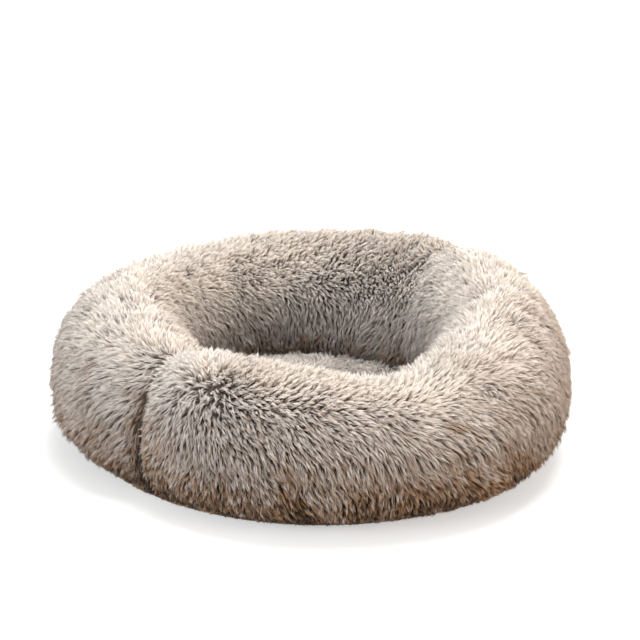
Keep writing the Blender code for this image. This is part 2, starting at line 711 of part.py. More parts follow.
def pull_outline():
    """Return the pull's plan outline, from its eye at the hinge to its rounded tip."""
    eye = PULL_THICKNESS / 2
    neck = BRIDGE_WIDTH / 2 + PULL_EYE_CLEARANCE + PULL_ARM
    wide = PULL_WIDTH / 2
    straight_end = PULL_LENGTH - wide
    half = [(eye, neck), (-PULL_HOLE_LENGTH, neck), (-PULL_TAPER, wide)]
    for step in range(PULL_TIP_STEPS):
        angle = math.pi / 2 * step / PULL_TIP_STEPS
        half.append((-straight_end - wide * math.sin(angle), wide * math.cos(angle)))
    return half + [(-PULL_LENGTH, 0.0)] + [(x, -y) for x, y in half[::-1]]


def make_pull(slider, material):
    """Make the pull: a flat tab with an eye round the bridge, its origin on the hinge."""
    half = PULL_THICKNESS / 2
    pull = add_object("zip_pull", prism_bmesh(pull_outline(), "z", -half, half), material)
    pull.parent = slider
    pull.location = (0.0, 0.0, -SLIDER_HALF_HEIGHT - BRIDGE_ROOM / 2)
    window = BRIDGE_WIDTH / 2 + PULL_EYE_CLEARANCE
    eye_low = (-PULL_HOLE_LENGTH, -window, -CUTTER_OVERRUN)
    eye_high = (-PULL_THICKNESS / 2, window, CUTTER_OVERRUN)
    eye = as_cutter(add_object("pull_eye_cutter", box_bmesh(eye_low, eye_high)))
    eye.parent = pull
    add_boolean(pull, eye, "DIFFERENCE")
    wide = PULL_WIDTH / 2 - PULL_GRIP_WIDTH
    for k in range(PULL_GRIP_COUNT):
        x = -PULL_LENGTH + PULL_WIDTH / 2 + k * PULL_GRIP_PITCH
        low = (x, -wide, -half - CUTTER_OVERRUN)
        high = (x + PULL_GRIP_WIDTH, wide, PULL_GRIP_DEPTH - half)
        groove = as_cutter(add_object(f"pull_grip_cutter_{k}", box_bmesh(low, high)))
        groove.parent = pull
        add_boolean(pull, groove, "DIFFERENCE")
    return pull


def build():
    """Build the whole bed."""
    clear_scene()
    fur = make_material("frosted_fur", (0.36, 0.31, 0.27), 0.95)
    well_fur = make_material("well_fur", (0.42, 0.37, 0.33), 0.95)
    lining = make_material("nonwoven_lining", (0.80, 0.79, 0.76), 0.9)
    fibre = make_material("polyester_fibre", (0.88, 0.88, 0.87), 0.95)
    oxford = make_material("oxford_cloth", (0.20, 0.18, 0.17), 0.9)
    zip_tape = make_material("zip_tape_taupe", (0.30, 0.26, 0.23), 0.85)
    zip_metal = make_material("zip_metal_grey", (0.24, 0.23, 0.22), 0.4, 1.0)
    make_bolster_cover("bolster_cover_front", FRONT_SEAM_ANGLE, REAR_SEAM_ANGLE, fur)
    make_bolster_cover("bolster_cover_rear", REAR_SEAM_ANGLE, FRONT_SEAM_ANGLE, fur)
    make_bolster_liner(lining)
    make_bolster_fill(fibre)
    make_well_cover(well_fur)
    make_centre_liner(lining)
    make_centre_fill(fibre)
    make_base_panel("base_panel_front", -1, oxford)
    make_base_panel("base_panel_rear", 1, oxford)
    make_zip_tape("zip_tape_front", -1, zip_tape)
    make_zip_tape("zip_tape_rear", 1, zip_tape)
    make_bottom_stop(zip_metal)
    make_top_stop("zip_top_stop_front", -1, zip_metal)
    make_top_stop("zip_top_stop_rear", 1, zip_metal)
    slider = make_slider(zip_metal)
    make_pull(slider, zip_metal)
    print(f"zip {ZIP_LENGTH:.4f} m, slider travel {SLIDER_TRAVEL:.4f} m, closed at x {SLIDER_REST_X:.5f} m")


build()
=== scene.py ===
"""Dress the donut pet bed: long frosted pile on the ring and the well, a woven base and its zip.

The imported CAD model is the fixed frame. The fur covers, the linings and the fillings are replaced
by modelled forms that follow the same surfaces, and the base and the zip keep their solids and
get their finishes and stitching. Lengths are metres and angles degrees, unless a line says
otherwise.
"""

from __future__ import annotations

import logging
import math
from dataclasses import dataclass
from enum import Enum
from typing import Iterable, Protocol

import bpy
import numpy as np
from mathutils import Matrix, Vector

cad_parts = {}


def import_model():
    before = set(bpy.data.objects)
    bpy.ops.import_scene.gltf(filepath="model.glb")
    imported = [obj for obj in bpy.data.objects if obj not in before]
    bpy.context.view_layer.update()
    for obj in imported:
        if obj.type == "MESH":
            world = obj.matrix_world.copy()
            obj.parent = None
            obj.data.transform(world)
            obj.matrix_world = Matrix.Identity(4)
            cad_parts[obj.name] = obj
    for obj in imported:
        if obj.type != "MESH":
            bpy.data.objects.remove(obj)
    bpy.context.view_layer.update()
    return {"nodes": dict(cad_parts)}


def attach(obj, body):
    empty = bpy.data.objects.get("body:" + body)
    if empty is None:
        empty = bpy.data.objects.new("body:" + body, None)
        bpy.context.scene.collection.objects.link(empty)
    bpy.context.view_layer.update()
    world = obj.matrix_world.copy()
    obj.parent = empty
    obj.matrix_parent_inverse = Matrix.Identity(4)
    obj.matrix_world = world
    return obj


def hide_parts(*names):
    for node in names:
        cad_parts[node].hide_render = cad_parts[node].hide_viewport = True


log = logging.getLogger("donut_pet_bed")

BED_BODY = "bed"
PHOTO_SIDE = 640
SEED = 20417
PLASTIC_NUMBER = 1.32471795724474602596
NOISE_WAVES = 7
NOISE_SPREAD = (0.75, 1.3)
NOISE_PEAK = 1.6
WAVE_TEXTURE_RATE = 20.0
TONE_COLUMNS = 128
COLUMN_SHARES = (0.15, 0.85, 0.5)
MAP_MARGIN = 0.004

Array = np.ndarray
Colour = tuple[int, int, int]
Material = bpy.types.Material
Piece = bpy.types.Object
Socket = bpy.types.NodeSocket
Value = Socket | float | tuple[float, ...]


def linear(colour: Colour) -> tuple[float, ...]:
    """Turn an 8-bit display colour into the linear colour that shaders take.

    The standard display curve is a straight line for the darkest shares and a power above.

    Args:
        colour: Red, green and blue from 0 to 255.

    Returns:
        The linear colour with an alpha of 1.
    """
    shares = np.array(colour) / 255.0
    values = np.where(shares <= 0.04045, shares / 12.92, ((shares + 0.055) / 1.055) ** 2.4)
    return (*values.tolist(), 1.0)


def columns(*parts: Array | float) -> Array:
    """Return arrays side by side on a new last axis, each spread to the same shape."""
    return np.stack(np.broadcast_arrays(*parts), axis=-1)


def from_axis(radius: Array, bearing: Array, height: Array | float) -> Array:
    """Return points by radius, bearing in radians and height."""
    return columns(radius * np.cos(bearing), radius * np.sin(bearing), height)


def ease(values: Array, start: Array | float, length: float) -> Array:
    """Return 0 up to a start, 1 from a length past it and a slope between; the reverse if negative."""
    return np.clip((values - start) / length, 0, 1)


def fade(distance: Array, reach: float) -> Array:
    """Return a Gaussian of the distance, which is 1 at none."""
    return np.exp(-((distance / reach) ** 2))


def total(terms: Iterable[Swell | Noise], places: Array) -> Array:
    """Return the sum of swells at angles, or of noises at points."""
    return sum(term.at(places) for term in terms)


@dataclass(frozen=True)
class Noise:
    """Smooth noise in space, about its height either way, the same on every run.

    Seven plane sine waves of unlike directions and phases, each 0.75 to 1.3 wavelengths long,
    are added up and scaled down. The seed picks them.
    """

    height: float
    wavelength: float
    seed: int

    def at(self, points: Array) -> Array:
        """Work out the noise.

        Args:
            points: Points with x, y and z on the last axis.

        Returns:
            One value for each point.
        """
        rng = np.random.default_rng(self.seed)
        directions = rng.normal(size=(NOISE_WAVES, 3))
        directions /= np.linalg.norm(directions, axis=1, keepdims=True)
        pitches = 2 * math.pi / (self.wavelength * rng.uniform(*NOISE_SPREAD, NOISE_WAVES))
        phases = rng.uniform(0, 2 * math.pi, NOISE_WAVES)
        waves = np.sin(points @ (directions * pitches[:, None]).T + phases)
        return self.height * (waves.sum(axis=-1) / math.sqrt(NOISE_WAVES / 2) / NOISE_PEAK)


@dataclass(frozen=True)
class Swell:
    """A smooth bump round the ring: its height, the angle of its middle and its spread."""

    height: float
    angle: float
    spread: float

    def at(self, angles: Array) -> Array:
        """Return the bump's height at angles, a Gaussian of the angle."""
        return self.height * fade((angles - self.angle + 180.0) % 360.0 - 180.0, self.spread)


@dataclass(frozen=True)
class Window:
    """A stretch that opens over a length from its start and closes over a length to its end."""

    start: float
    opening: float
    end: float
    closing: float

    def at(self, values: Array) -> Array:
        """Return 1 inside the stretch, 0 outside it and slopes between."""
        return ease(values, self.start, self.opening) * ease(values, self.end, -self.closing)


def spread_evenly(count: int, seed: int) -> Array:
    """Spread points evenly over the unit square with the plastic-number sequence.

    Point k is k times the inverse powers of the plastic number, taken modulo 1, from a
    random start.

    Args:
        count: How many points to make.
        seed: Picks the start.

    Returns:
        Rows of two values from 0 to 1.
    """
    start = np.random.default_rng(seed).random(2)
    steps = np.arange(count)[:, None] * np.array([1 / PLASTIC_NUMBER, 1 / PLASTIC_NUMBER**2])
    return (start + steps) % 1.0


def linked(name: str, data: bpy.types.ID) -> Piece:
    """Return a new object that holds the data, linked to the scene."""
    piece = bpy.data.objects.new(name, data)
    bpy.context.scene.collection.objects.link(piece)
    return piece


def mesh_piece(
    name: str, points: Array, triangles: Array, finish: Material, slot: str, corner_uv: Array | None = None
) -> Piece:
    """Make a smooth mesh object at the origin from whole arrays.

    Args:
        name: The piece's name.
        points: Points with x, y and z on the last axis.
        triangles: Rows of three point numbers, anticlockwise seen from outside.
        finish: The material.
        slot: Not used.
        corner_uv: A pair of UV values for each triangle corner in turn, if it has a map.

    Returns:
        The new object, riding on the bed's body.
    """
    mesh = bpy.data.meshes.new(name)
    mesh.vertices.add(points.size // 3)
    mesh.vertices.foreach_set("co", points.astype(np.float32).ravel())
    mesh.loops.add(triangles.size)
    mesh.loops.foreach_set("vertex_index", triangles.astype(np.int32).ravel())
    mesh.polygons.add(len(triangles))
    mesh.polygons.foreach_set("loop_start", np.arange(0, triangles.size, 3, dtype=np.int32))
    mesh.update(calc_edges=True)
    mesh.polygons.foreach_set("use_smooth", np.ones(len(triangles), dtype=bool))
    if corner_uv is not None:
        layer = mesh.uv_layers.new(name="OFBake")
        layer.uv.foreach_set("vector", corner_uv.astype(np.float32).ravel())
    mesh.materials.append(finish)
    piece = linked(name, mesh)
    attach(piece, BED_BODY)
    log.info("made %s with %d triangles", name, len(triangles))
    return piece


def grid_triangles(rows: int, across: int, closed_rows: bool, closed_across: bool) -> Array:
    """Number the triangles of a grid of points that is stored row after row.

    Args:
        rows: Number of rows of points.
        across: Number of points in a row.
        closed_rows: Whether the last row joins the first.
        closed_across: Whether each row's last point joins its first.

    Returns:
        Rows of three point numbers.
    """
    row = np.arange(rows if closed_rows else rows - 1)
    step = np.arange(across if closed_across else across - 1)
    row, step = np.meshgrid(row, step, indexing="ij")
    here, along = row * across + step, row * across + (step + 1) % across
    after = (row + 1) % rows * across
    over, both = after + step, after + (step + 1) % across
    halves = columns(here, over, both), columns(here, both, along)
    return np.concatenate([half.reshape(-1, 3) for half in halves])


def fan_triangles(centre: int, ring: Array) -> Array:
    """Return the triangles from a ring of points, anticlockwise from outside, to a centre point."""
    return columns(centre, ring, np.roll(ring, -1))


class Graph:
    """A material's node tree with short calls to add and join its nodes."""

    def __init__(self, name: str) -> None:
        """Start a material that holds a Principled shader alone.

        Args:
            name: The material's name.
        """
        self.material = bpy.data.materials.new(name)
        self.material.use_nodes = True
        self.tree = self.material.node_tree
        self.shader = self.tree.nodes["Principled BSDF"]

    def feed(self, node: bpy.types.Node, values: dict[str | int, Value]) -> None:
        """Link outputs to a node's inputs, and set the inputs that take a constant.

        Args:
            node: The node.
            values: An output or a constant for each input, by the input's name or number.
        """
        for key, value in values.items():
            if isinstance(value, Socket):
                self.tree.links.new(value, node.inputs[key])
            else:
                node.inputs[key].default_value = value

    def add(
        self, kind: str, values: dict[str | int, Value] | None = None, **settings: object
    ) -> bpy.types.Node:
        """Add a node.

        Args:
            kind: The node's type name.
            values: What its inputs take.
            **settings: Properties of the node by name.

        Returns:
            The new node.
        """
        node = self.tree.nodes.new(kind)
        for key, value in settings.items():
            setattr(node, key, value)
        self.feed(node, values or {})
        return node

    def shade(self, **values: Value) -> None:
        """Feed the shader's own sockets, named with underscores for spaces."""
        self.feed(self.shader, {key.replace("_", " "): value for key, value in values.items()})

    def ramp(self, place: Socket, *stops: tuple[float, Colour]) -> Socket:
        """Add a colour ramp.

        Args:
            place: The value that it reads.
            *stops: Positions from 0 to 1 with their display colours.

        Returns:
            The ramp's colour output.
        """
        node = self.add("ShaderNodeValToRGB", {"Fac": place})
        elements = node.color_ramp.elements
        while len(elements) < len(stops):
            elements.new(0.5)
        for element, (position, colour) in zip(elements, stops):
            element.position = position
            element.color = linear(colour)
        return node.outputs["Color"]

    def math(self, operation: str, *values: Value) -> Socket:
        """Add a math node on one to three values and return its result."""
        return self.add("ShaderNodeMath", dict(enumerate(values)), operation=operation).outputs[0]

    def spread(
        self, value: Socket, low: float, high: float, to_low: float = 0.0, to_high: float = 1.0
    ) -> Socket:
        """Map a range of values to another and hold it at the ends.

        Args:
            value: The value's output.
            low: The value that becomes to_low.
            high: The value that becomes to_high.
            to_low: The result at low.
            to_high: The result at high.

        Returns:
            The result's output.
        """
        limits = {"From Min": low, "From Max": high, "To Min": to_low, "To Max": to_high}
        return self.add("ShaderNodeMapRange", {"Value": value, **limits}).outputs["Result"]

    def mix(self, share: Socket, first: Socket, second: Value) -> Socket:
        """Mix two colours by the second one's share and return the mixed colour."""
        return self.add("ShaderNodeMix", {0: share, 6: first, 7: second}, data_type="RGBA").outputs[2]

    def parts(self, vector: Socket) -> list[Socket]:
        """Split a vector and return its X, Y and Z outputs."""
        return list(self.add("ShaderNodeSeparateXYZ", {"Vector": vector}).outputs)

    def place(self) -> Socket:
        """Return the output of the piece's own Object coordinates."""
        return self.add("ShaderNodeTexCoord").outputs["Object"]

    def off_axis(self) -> Socket:
        """Return the distance from the bed's upright axis, the root of X squared plus Y squared."""
        squares = [self.math("MULTIPLY", part, part) for part in self.parts(self.place())[:2]]
        return self.math("SQRT", self.math("ADD", *squares))

    def noise(self, per_metre: float, detail: float) -> Socket:
        """Add a noise texture by its cells to the metre and its octaves, and return its value."""
        values = {"Scale": per_metre, "Detail": detail, "Vector": self.place()}
        return self.add("ShaderNodeTexNoise", values).outputs["Fac"]

    def stripes(self, direction: str, per_metre: float) -> Socket:
        """Add soft bands along an axis. The texture draws a sine of 20 times its scale to the metre.

        Args:
            direction: X, Y, Z or DIAGONAL.
            per_metre: Bands to the metre.

        Returns:
            The bands' value output.
        """
        scale = per_metre * 2 * math.pi / WAVE_TEXTURE_RATE
        values = {"Scale": scale, "Distortion": 0.5, "Detail": 1.0, "Vector": self.place()}
        return self.add("ShaderNodeTexWave", values, bands_direction=direction).outputs["Fac"]

    def bump(self, height: Socket, depth: float, strength: float) -> None:
        """Drive the shader's normal from a height.

        Args:
            height: The height's output.
            depth: The relief's depth.
            strength: How strongly it shows.
        """
        values = {"Height": height, "Distance": depth, "Strength": strength}
        self.shade(Normal=self.add("ShaderNodeBump", values).outputs["Normal"])


@dataclass(frozen=True)
class Finish:
    """A finish by name. Each kind lays its own nodes."""

    name: str

    def paint(self, graph: Graph) -> None:
        """Lay the finish's nodes."""
        raise NotImplementedError

    def build(self) -> Material:
        """Make the material.

        Returns:
            The new material.
        """
        graph = Graph(self.name)
        self.paint(graph)
        return graph.material


@dataclass(frozen=True)
class PileFinish(Finish):
    """Frosted pile: dark roots, taupe lengths and cream tips, in strands of unlike tone.

    Each strand's map runs from its root at 0 to its tip at 1 upwards, and its place across
    the map is its tone. At each of the four tones one row of shades holds alone: a near black
    row of painted shade, reached in the front seam's groove and the darkest low pile, then
    warm brown, grey taupe and cream. A row gives the colours at the positions.
    """

    name: str = "frosted_pile"
    tones: tuple[float, ...] = (0.0, 0.07, 0.5, 1.0)
    positions: tuple[float, ...] = (0.0, 0.24, 0.46, 0.72, 1.0)
    shades: tuple[tuple[Colour, ...], ...] = (
        # painted shade: the near black row, for the front seam's groove and the darkest low pile
        ((20, 15, 11), (34, 26, 20), (56, 43, 33), (80, 62, 48), (96, 76, 60)),
        ((30, 20, 12), (67, 44, 25), (126, 88, 49), (168, 123, 75), (191, 146, 94)),
        ((40, 34, 31), (101, 91, 85), (181, 171, 165), (217, 209, 203), (230, 222, 215)),
        ((184, 164, 149), (217, 202, 189), (225, 214, 203), (229, 221, 212), (230, 223, 215)),
    )
    sheen_tint: Colour = (244, 232, 218)
    sheen: float = 0.3
    sheen_roughness: float = 0.45
    roughness: float = 0.7

    def paint(self, graph: Graph) -> None:
        """Mix the four rows of shades in turn, by tone.

        Args:
            graph: The material's nodes.
        """
        tone, upward, _ = graph.parts(graph.add("ShaderNodeUVMap", uv_map="OFBake").outputs["UV"])
        colour, *others = (graph.ramp(upward, *zip(self.positions, row)) for row in self.shades)
        for low, high, other in zip(self.tones, self.tones[1:], others):
            colour = graph.mix(graph.spread(tone, low, high), colour, other)
        graph.shade(Base_Color=colour, Roughness=self.roughness, Specular_IOR_Level=0.3)
        graph.shade(Sheen_Weight=self.sheen, Sheen_Roughness=self.sheen_roughness)
        graph.shade(Sheen_Tint=linear(self.sheen_tint))


@dataclass(frozen=True)
class FibreFinish(Finish):
    """Matted fibre or nonwoven cloth: fine noise between two shades with a soft relief."""

    dark: Colour
    pale: Colour
    cells_per_metre: float
    relief: float

    def paint(self, graph: Graph) -> None:
        """Lay one noise as colour and relief.

        Args:
            graph: The material's nodes.
        """
        noise = graph.noise(self.cells_per_metre, 6.0)
        graph.shade(Base_Color=graph.ramp(noise, (0.3, self.dark), (0.7, self.pale)))
        graph.shade(Roughness=0.92, Sheen_Weight=0.25, Specular_IOR_Level=0.2)
        graph.bump(noise, self.relief, 0.7)


@dataclass(frozen=True)
class WovenFinish(Finish):
    """Woven cloth with worn patches, and smooth plain mouldings on some of it.

    The cloth's shade is the weave and the patches, each times its share, between the stops
    for dark and pale. A pair of roughness is the cloth's and the mouldings'.
    """

    dark: Colour
    pale: Colour
    moulded: Colour
    rows_per_metre: float
    patches_per_metre: float
    shares: tuple[float, float]
    stops: tuple[float, float]
    roughness: tuple[float, float]
    sheen: float
    specular: float
    relief: float

    def weave(self, graph: Graph) -> Socket:
        """Return the weave's height from 0 to 1."""
        raise NotImplementedError

    def on_moulding(self, graph: Graph) -> Socket:
        """Return 1 on a moulding and 0 on the cloth."""
        raise NotImplementedError

    def paint(self, graph: Graph) -> None:
        """Lay the weave with its patches, and the mouldings in front of it.

        Args:
            graph: The material's nodes.
        """
        weave, moulding = self.weave(graph), self.on_moulding(graph)
        of_weave, of_patches = self.shares
        patches = graph.math("MULTIPLY", graph.noise(self.patches_per_metre, 3.0), of_patches)
        shade = graph.math("MULTIPLY_ADD", weave, of_weave, patches)
        cloth = graph.ramp(shade, *zip(self.stops, (self.dark, self.pale)))
        roughness = graph.spread(moulding, 0.0, 1.0, *self.roughness)
        graph.shade(Base_Color=graph.mix(moulding, cloth, linear(self.moulded)), Roughness=roughness)
        graph.shade(Sheen_Weight=self.sheen, Specular_IOR_Level=self.specular)
        graph.bump(graph.math("MULTIPLY", weave, graph.math("SUBTRACT", 1.0, moulding)), self.relief, 0.9)


@dataclass(frozen=True)
class BaseClothFinish(WovenFinish):
    """The base's woven cloth with its rubbery grip dots.

    Yarns cross as soft bands along X and Y. A point is on a dot where it is lower than the
    cloth's underside, which is higher in the raised middle than round it.
    """

    name: str = "base_cloth"
    dark: Colour = (52, 44, 39)
    pale: Colour = (104, 92, 83)
    moulded: Colour = (58, 53, 50)
    rows_per_metre: float = 900.0
    patches_per_metre: float = 30.0
    shares: tuple[float, float] = (0.45, 0.6)
    stops: tuple[float, float] = (0.30, 0.85)
    roughness: tuple[float, float] = (0.88, 0.45)
    sheen: float = 0.15
    specular: float = 0.35
    relief: float = 0.0003
    middle_radius: float = 0.168
    middle_underside: float = 0.0049
    outer_underside: float = 0.0011

    def weave(self, graph: Graph) -> Socket:
        """Return the crossing yarns' height."""
        return graph.math("MAXIMUM", *(graph.stripes(axis, self.rows_per_metre) for axis in "XY"))

    def on_moulding(self, graph: Graph) -> Socket:
        """Find the dots.

        Args:
            graph: The material's nodes.

        Returns:
            The output that is 1 on a dot and 0 on the cloth.
        """
        in_middle = graph.math("LESS_THAN", graph.off_axis(), self.middle_radius)
        rise = self.middle_underside - self.outer_underside
        underside = graph.math("MULTIPLY_ADD", in_middle, rise, self.outer_underside)
        return graph.math("LESS_THAN", graph.parts(graph.place())[2], underside)


@dataclass(frozen=True)
class ZipTapeFinish(WovenFinish):
    """A zip tape: herringbone cloth, a corded edge and glossy moulded teeth.

    The teeth lie within a short way of the middle line, the cord next to them and the tape
    beyond.
    """

    name: str = "zip_tape"
    dark: Colour = (62, 53, 47)
    pale: Colour = (112, 99, 89)
    moulded: Colour = (96, 88, 82)
    rows_per_metre: float = 1300.0
    patches_per_metre: float = 160.0
    shares: tuple[float, float] = (0.6, 0.4)
    stops: tuple[float, float] = (0.2, 0.8)
    roughness: tuple[float, float] = (0.85, 0.3)
    sheen: float = 0.0
    specular: float = 0.4
    relief: float = 0.0002
    teeth_reach: float = 0.00149

    def weave(self, graph: Graph) -> Socket:
        """Return the herringbone's height, the mean of slanted and straight rows."""
        rows = [graph.stripes(direction, self.rows_per_metre) for direction in ("DIAGONAL", "X")]
        return graph.math("MULTIPLY", graph.math("ADD", *rows), 0.5)

    def on_moulding(self, graph: Graph) -> Socket:
        """Return 1 on the teeth and 0 on the cloth."""
        off_line = graph.math("ABSOLUTE", graph.parts(graph.place())[1])
        return graph.math("LESS_THAN", off_line, self.teeth_reach)


@dataclass(frozen=True)
class MetalFinish(Finish):
    """Dark nickel plating on the zip's metal pieces, with fine scuffs and tarnish."""

    name: str = "zip_plating"
    dark: Colour = (112, 107, 102)
    pale: Colour = (160, 154, 147)
    scuffs_per_metre: float = 900.0
    tarnish_per_metre: float = 140.0
    roughness: tuple[float, float] = (0.24, 0.46)
    relief: float = 0.00005

    def paint(self, graph: Graph) -> None:
        """Lay the tarnish as colour, and the scuffs as gloss and relief.

        Args:
            graph: The material's nodes.
        """
        scuffs = graph.noise(self.scuffs_per_metre, 5.0)
        tarnish = graph.noise(self.tarnish_per_metre, 2.0)
        graph.shade(Base_Color=graph.ramp(tarnish, (0.3, self.dark), (0.7, self.pale)), Metallic=1.0)
        graph.shade(Roughness=graph.spread(scuffs, 0.3, 0.7, *self.roughness))
        graph.bump(scuffs, self.relief, 0.25)


@dataclass(frozen=True)
class ThreadFinish(Finish):
    """Sewing thread: two plies that wind along each stitch."""

    name: str = "sewing_thread"
    dark: Colour = (70, 60, 53)
    pale: Colour = (128, 114, 102)
    plies_per_metre: float = 2600.0
    relief: float = 0.0001

    def paint(self, graph: Graph) -> None:
        """Lay the plies as colour and relief.

        Args:
            graph: The material's nodes.
        """
        plies = graph.stripes("DIAGONAL", self.plies_per_metre)
        graph.shade(Base_Color=graph.ramp(plies, (0.2, self.dark), (0.8, self.pale)))
        graph.shade(Roughness=0.6, Sheen_Weight=0.2)
        graph.bump(plies, self.relief, 0.8)


class Surface(Protocol):
    """A surface that pile grows on, with two coordinates and a depth under its pile's tips."""

    def points(self, u: Array, v: Array, inset: Array | float) -> Array:
        """Return the points in space at two coordinates and a depth."""

    def steps(self, u: Array, v: Array, inset: Array | float) -> Array:
        """Return the metres travelled per unit of either coordinate, as two columns."""


@dataclass(frozen=True)
class RingForm:
    """The stuffed ring's surface, by angle round the bed and by turn round its section.

    A turn of 0 degrees is the outermost line, 90 the crest, 180 the innermost line and 270
    or -90 the underside. The upper half of a section is an ellipse and the lower half a
    superellipse that is flattened onto the floor. Sizes reach to the pile's tips.
    """

    outer_radius: float = 0.300
    outer_half_width: float = 0.086
    inner_half_width: float = 0.080
    height: float = 0.186
    bulge_height: float = 0.082
    underside_power: float = 2.6
    crest: tuple[Swell, ...] = (
        Swell(-0.020, 260.0, 70.0),
        Swell(-0.026, 300.0, 26.0),
        Swell(-0.008, 142.0, 26.0),
        Swell(0.018, 31.0, 42.0),
    )
    side: tuple[Swell, ...] = (Swell(0.006, 312.0, 20.0), Swell(-0.015, 234.0, 21.0))
    front_seam: float = 228.0
    rear_seam: float = 41.0
    seam_spread: float = 6.5
    seam_pinch: float = 0.014
    seam_pinch_inside: float = 0.009
    rear_share: float = 0.55
    cover_thickness: float = 0.014
    well_rim: float = 0.0545
    base_edge: float = 0.0030
    probe: float = 0.5
    least_step: float = 0.0004

    def either_seam(self, angles: Array, spread: float) -> Array:
        """Return 1 on the front seam and less on the rear one, falling away over a spread."""
        seams = Swell(1.0, self.front_seam, spread), Swell(self.rear_share, self.rear_seam, spread)
        return total(seams, angles)

    def points(self, u: Array, v: Array, inset: Array | float) -> Array:
        """Return points on the surface, or an inset under it.

        The half widths and the crest shrink by the inset and by the pinch at a seam. The
        pinch is less deep for a larger inset.

        Args:
            u: Angles round the bed.
            v: Turns round the section.
            inset: Depth under the pile's tips.

        Returns:
            Points with x, y and z on the last axis.
        """
        slack = (self.seam_pinch - self.seam_pinch_inside) / self.cover_thickness
        depth = inset + (self.seam_pinch - slack * inset) * self.either_seam(u, self.seam_spread)
        across, up = np.cos(np.radians(v)), np.sin(np.radians(v))
        power = np.where(up < 0, 2 / self.underside_power, 1.0)
        outer = self.outer_half_width + total(self.side, u)
        half_width = np.where(across > 0, outer, self.inner_half_width) - depth
        middle = self.outer_radius - self.outer_half_width
        radius = middle + half_width * np.sign(across) * np.abs(across) ** power
        above = (self.height + total(self.crest, u) - self.bulge_height - depth) * np.maximum(up, 0)
        below = self.bulge_height * np.abs(np.minimum(up, 0)) ** power
        return from_axis(radius, np.radians(u), self.bulge_height + above - below)

    def steps(self, u: Array, v: Array, inset: Array | float) -> Array:
        """Return the metres travelled per degree of angle and of turn, by probing a little way.

        Args:
            u: Angles round the bed.
            v: Turns round the section.
            inset: Depth under the pile's tips.

        Returns:
            Two columns, the second no less than the least step.
        """
        here = self.points(u, v, inset)
        along = np.linalg.norm(self.points(u + self.probe, v, inset) - here, axis=-1) / self.probe
        across = np.linalg.norm(self.points(u, v + self.probe, inset) - here, axis=-1) / self.probe
        return columns(along, np.maximum(across, self.least_step))

    def turn_at(self, height: float) -> float:
        """Return how many degrees past the bulge line the surface comes down to a height."""
        share = (self.bulge_height - height) / self.bulge_height
        return math.degrees(math.asin(share ** (self.underside_power / 2)))

    def edges(self) -> tuple[float, float]:
        """Return the turns of the cover's lower edges, outside and in the well."""
        return -self.turn_at(self.base_edge), 180.0 + self.turn_at(self.well_rim)


@dataclass(frozen=True)
class WellForm:
    """The well's crowned floor, by x and y."""

    radius: float = 0.13583
    rim: float = 0.0542
    crown: float = 0.008

    def height(self, radius: Array) -> Array:
        """Return the crown's height at a radius, which falls with the radius squared."""
        return self.rim + self.crown * (1 - (radius / self.radius) ** 2)

    def points(self, u: Array, v: Array, inset: Array | float) -> Array:
        """Return points at an inset under the crown, by x and y."""
        return columns(u, v, self.height(np.hypot(u, v)) - inset)

    def steps(self, u: Array, v: Array, inset: Array | float) -> Array:
        """Return ones, as both coordinates are metres already."""
        return np.ones((*np.shape(u), 2))


class Coat(Enum):
    """The pile's two coats."""

    UNDER = "underwool"
    OVER = "guard_hair"


@dataclass(frozen=True)
class StrandShape:
    """One coat's strands: how many to a lock, how thick, how far they reach and how they gather.

    The rings are the shares of a strand's length where its wall has points.
    """

    strands: int
    radius: float
    rings: tuple[float, ...]
    lock_radius: float
    gather: float
    tip_height: tuple[float, float]
    lean: tuple[float, float]


@dataclass(frozen=True)
class Places:
    """Places on a surface: two coordinates, and the points in space."""

    u: Array
    v: Array
    points: Array


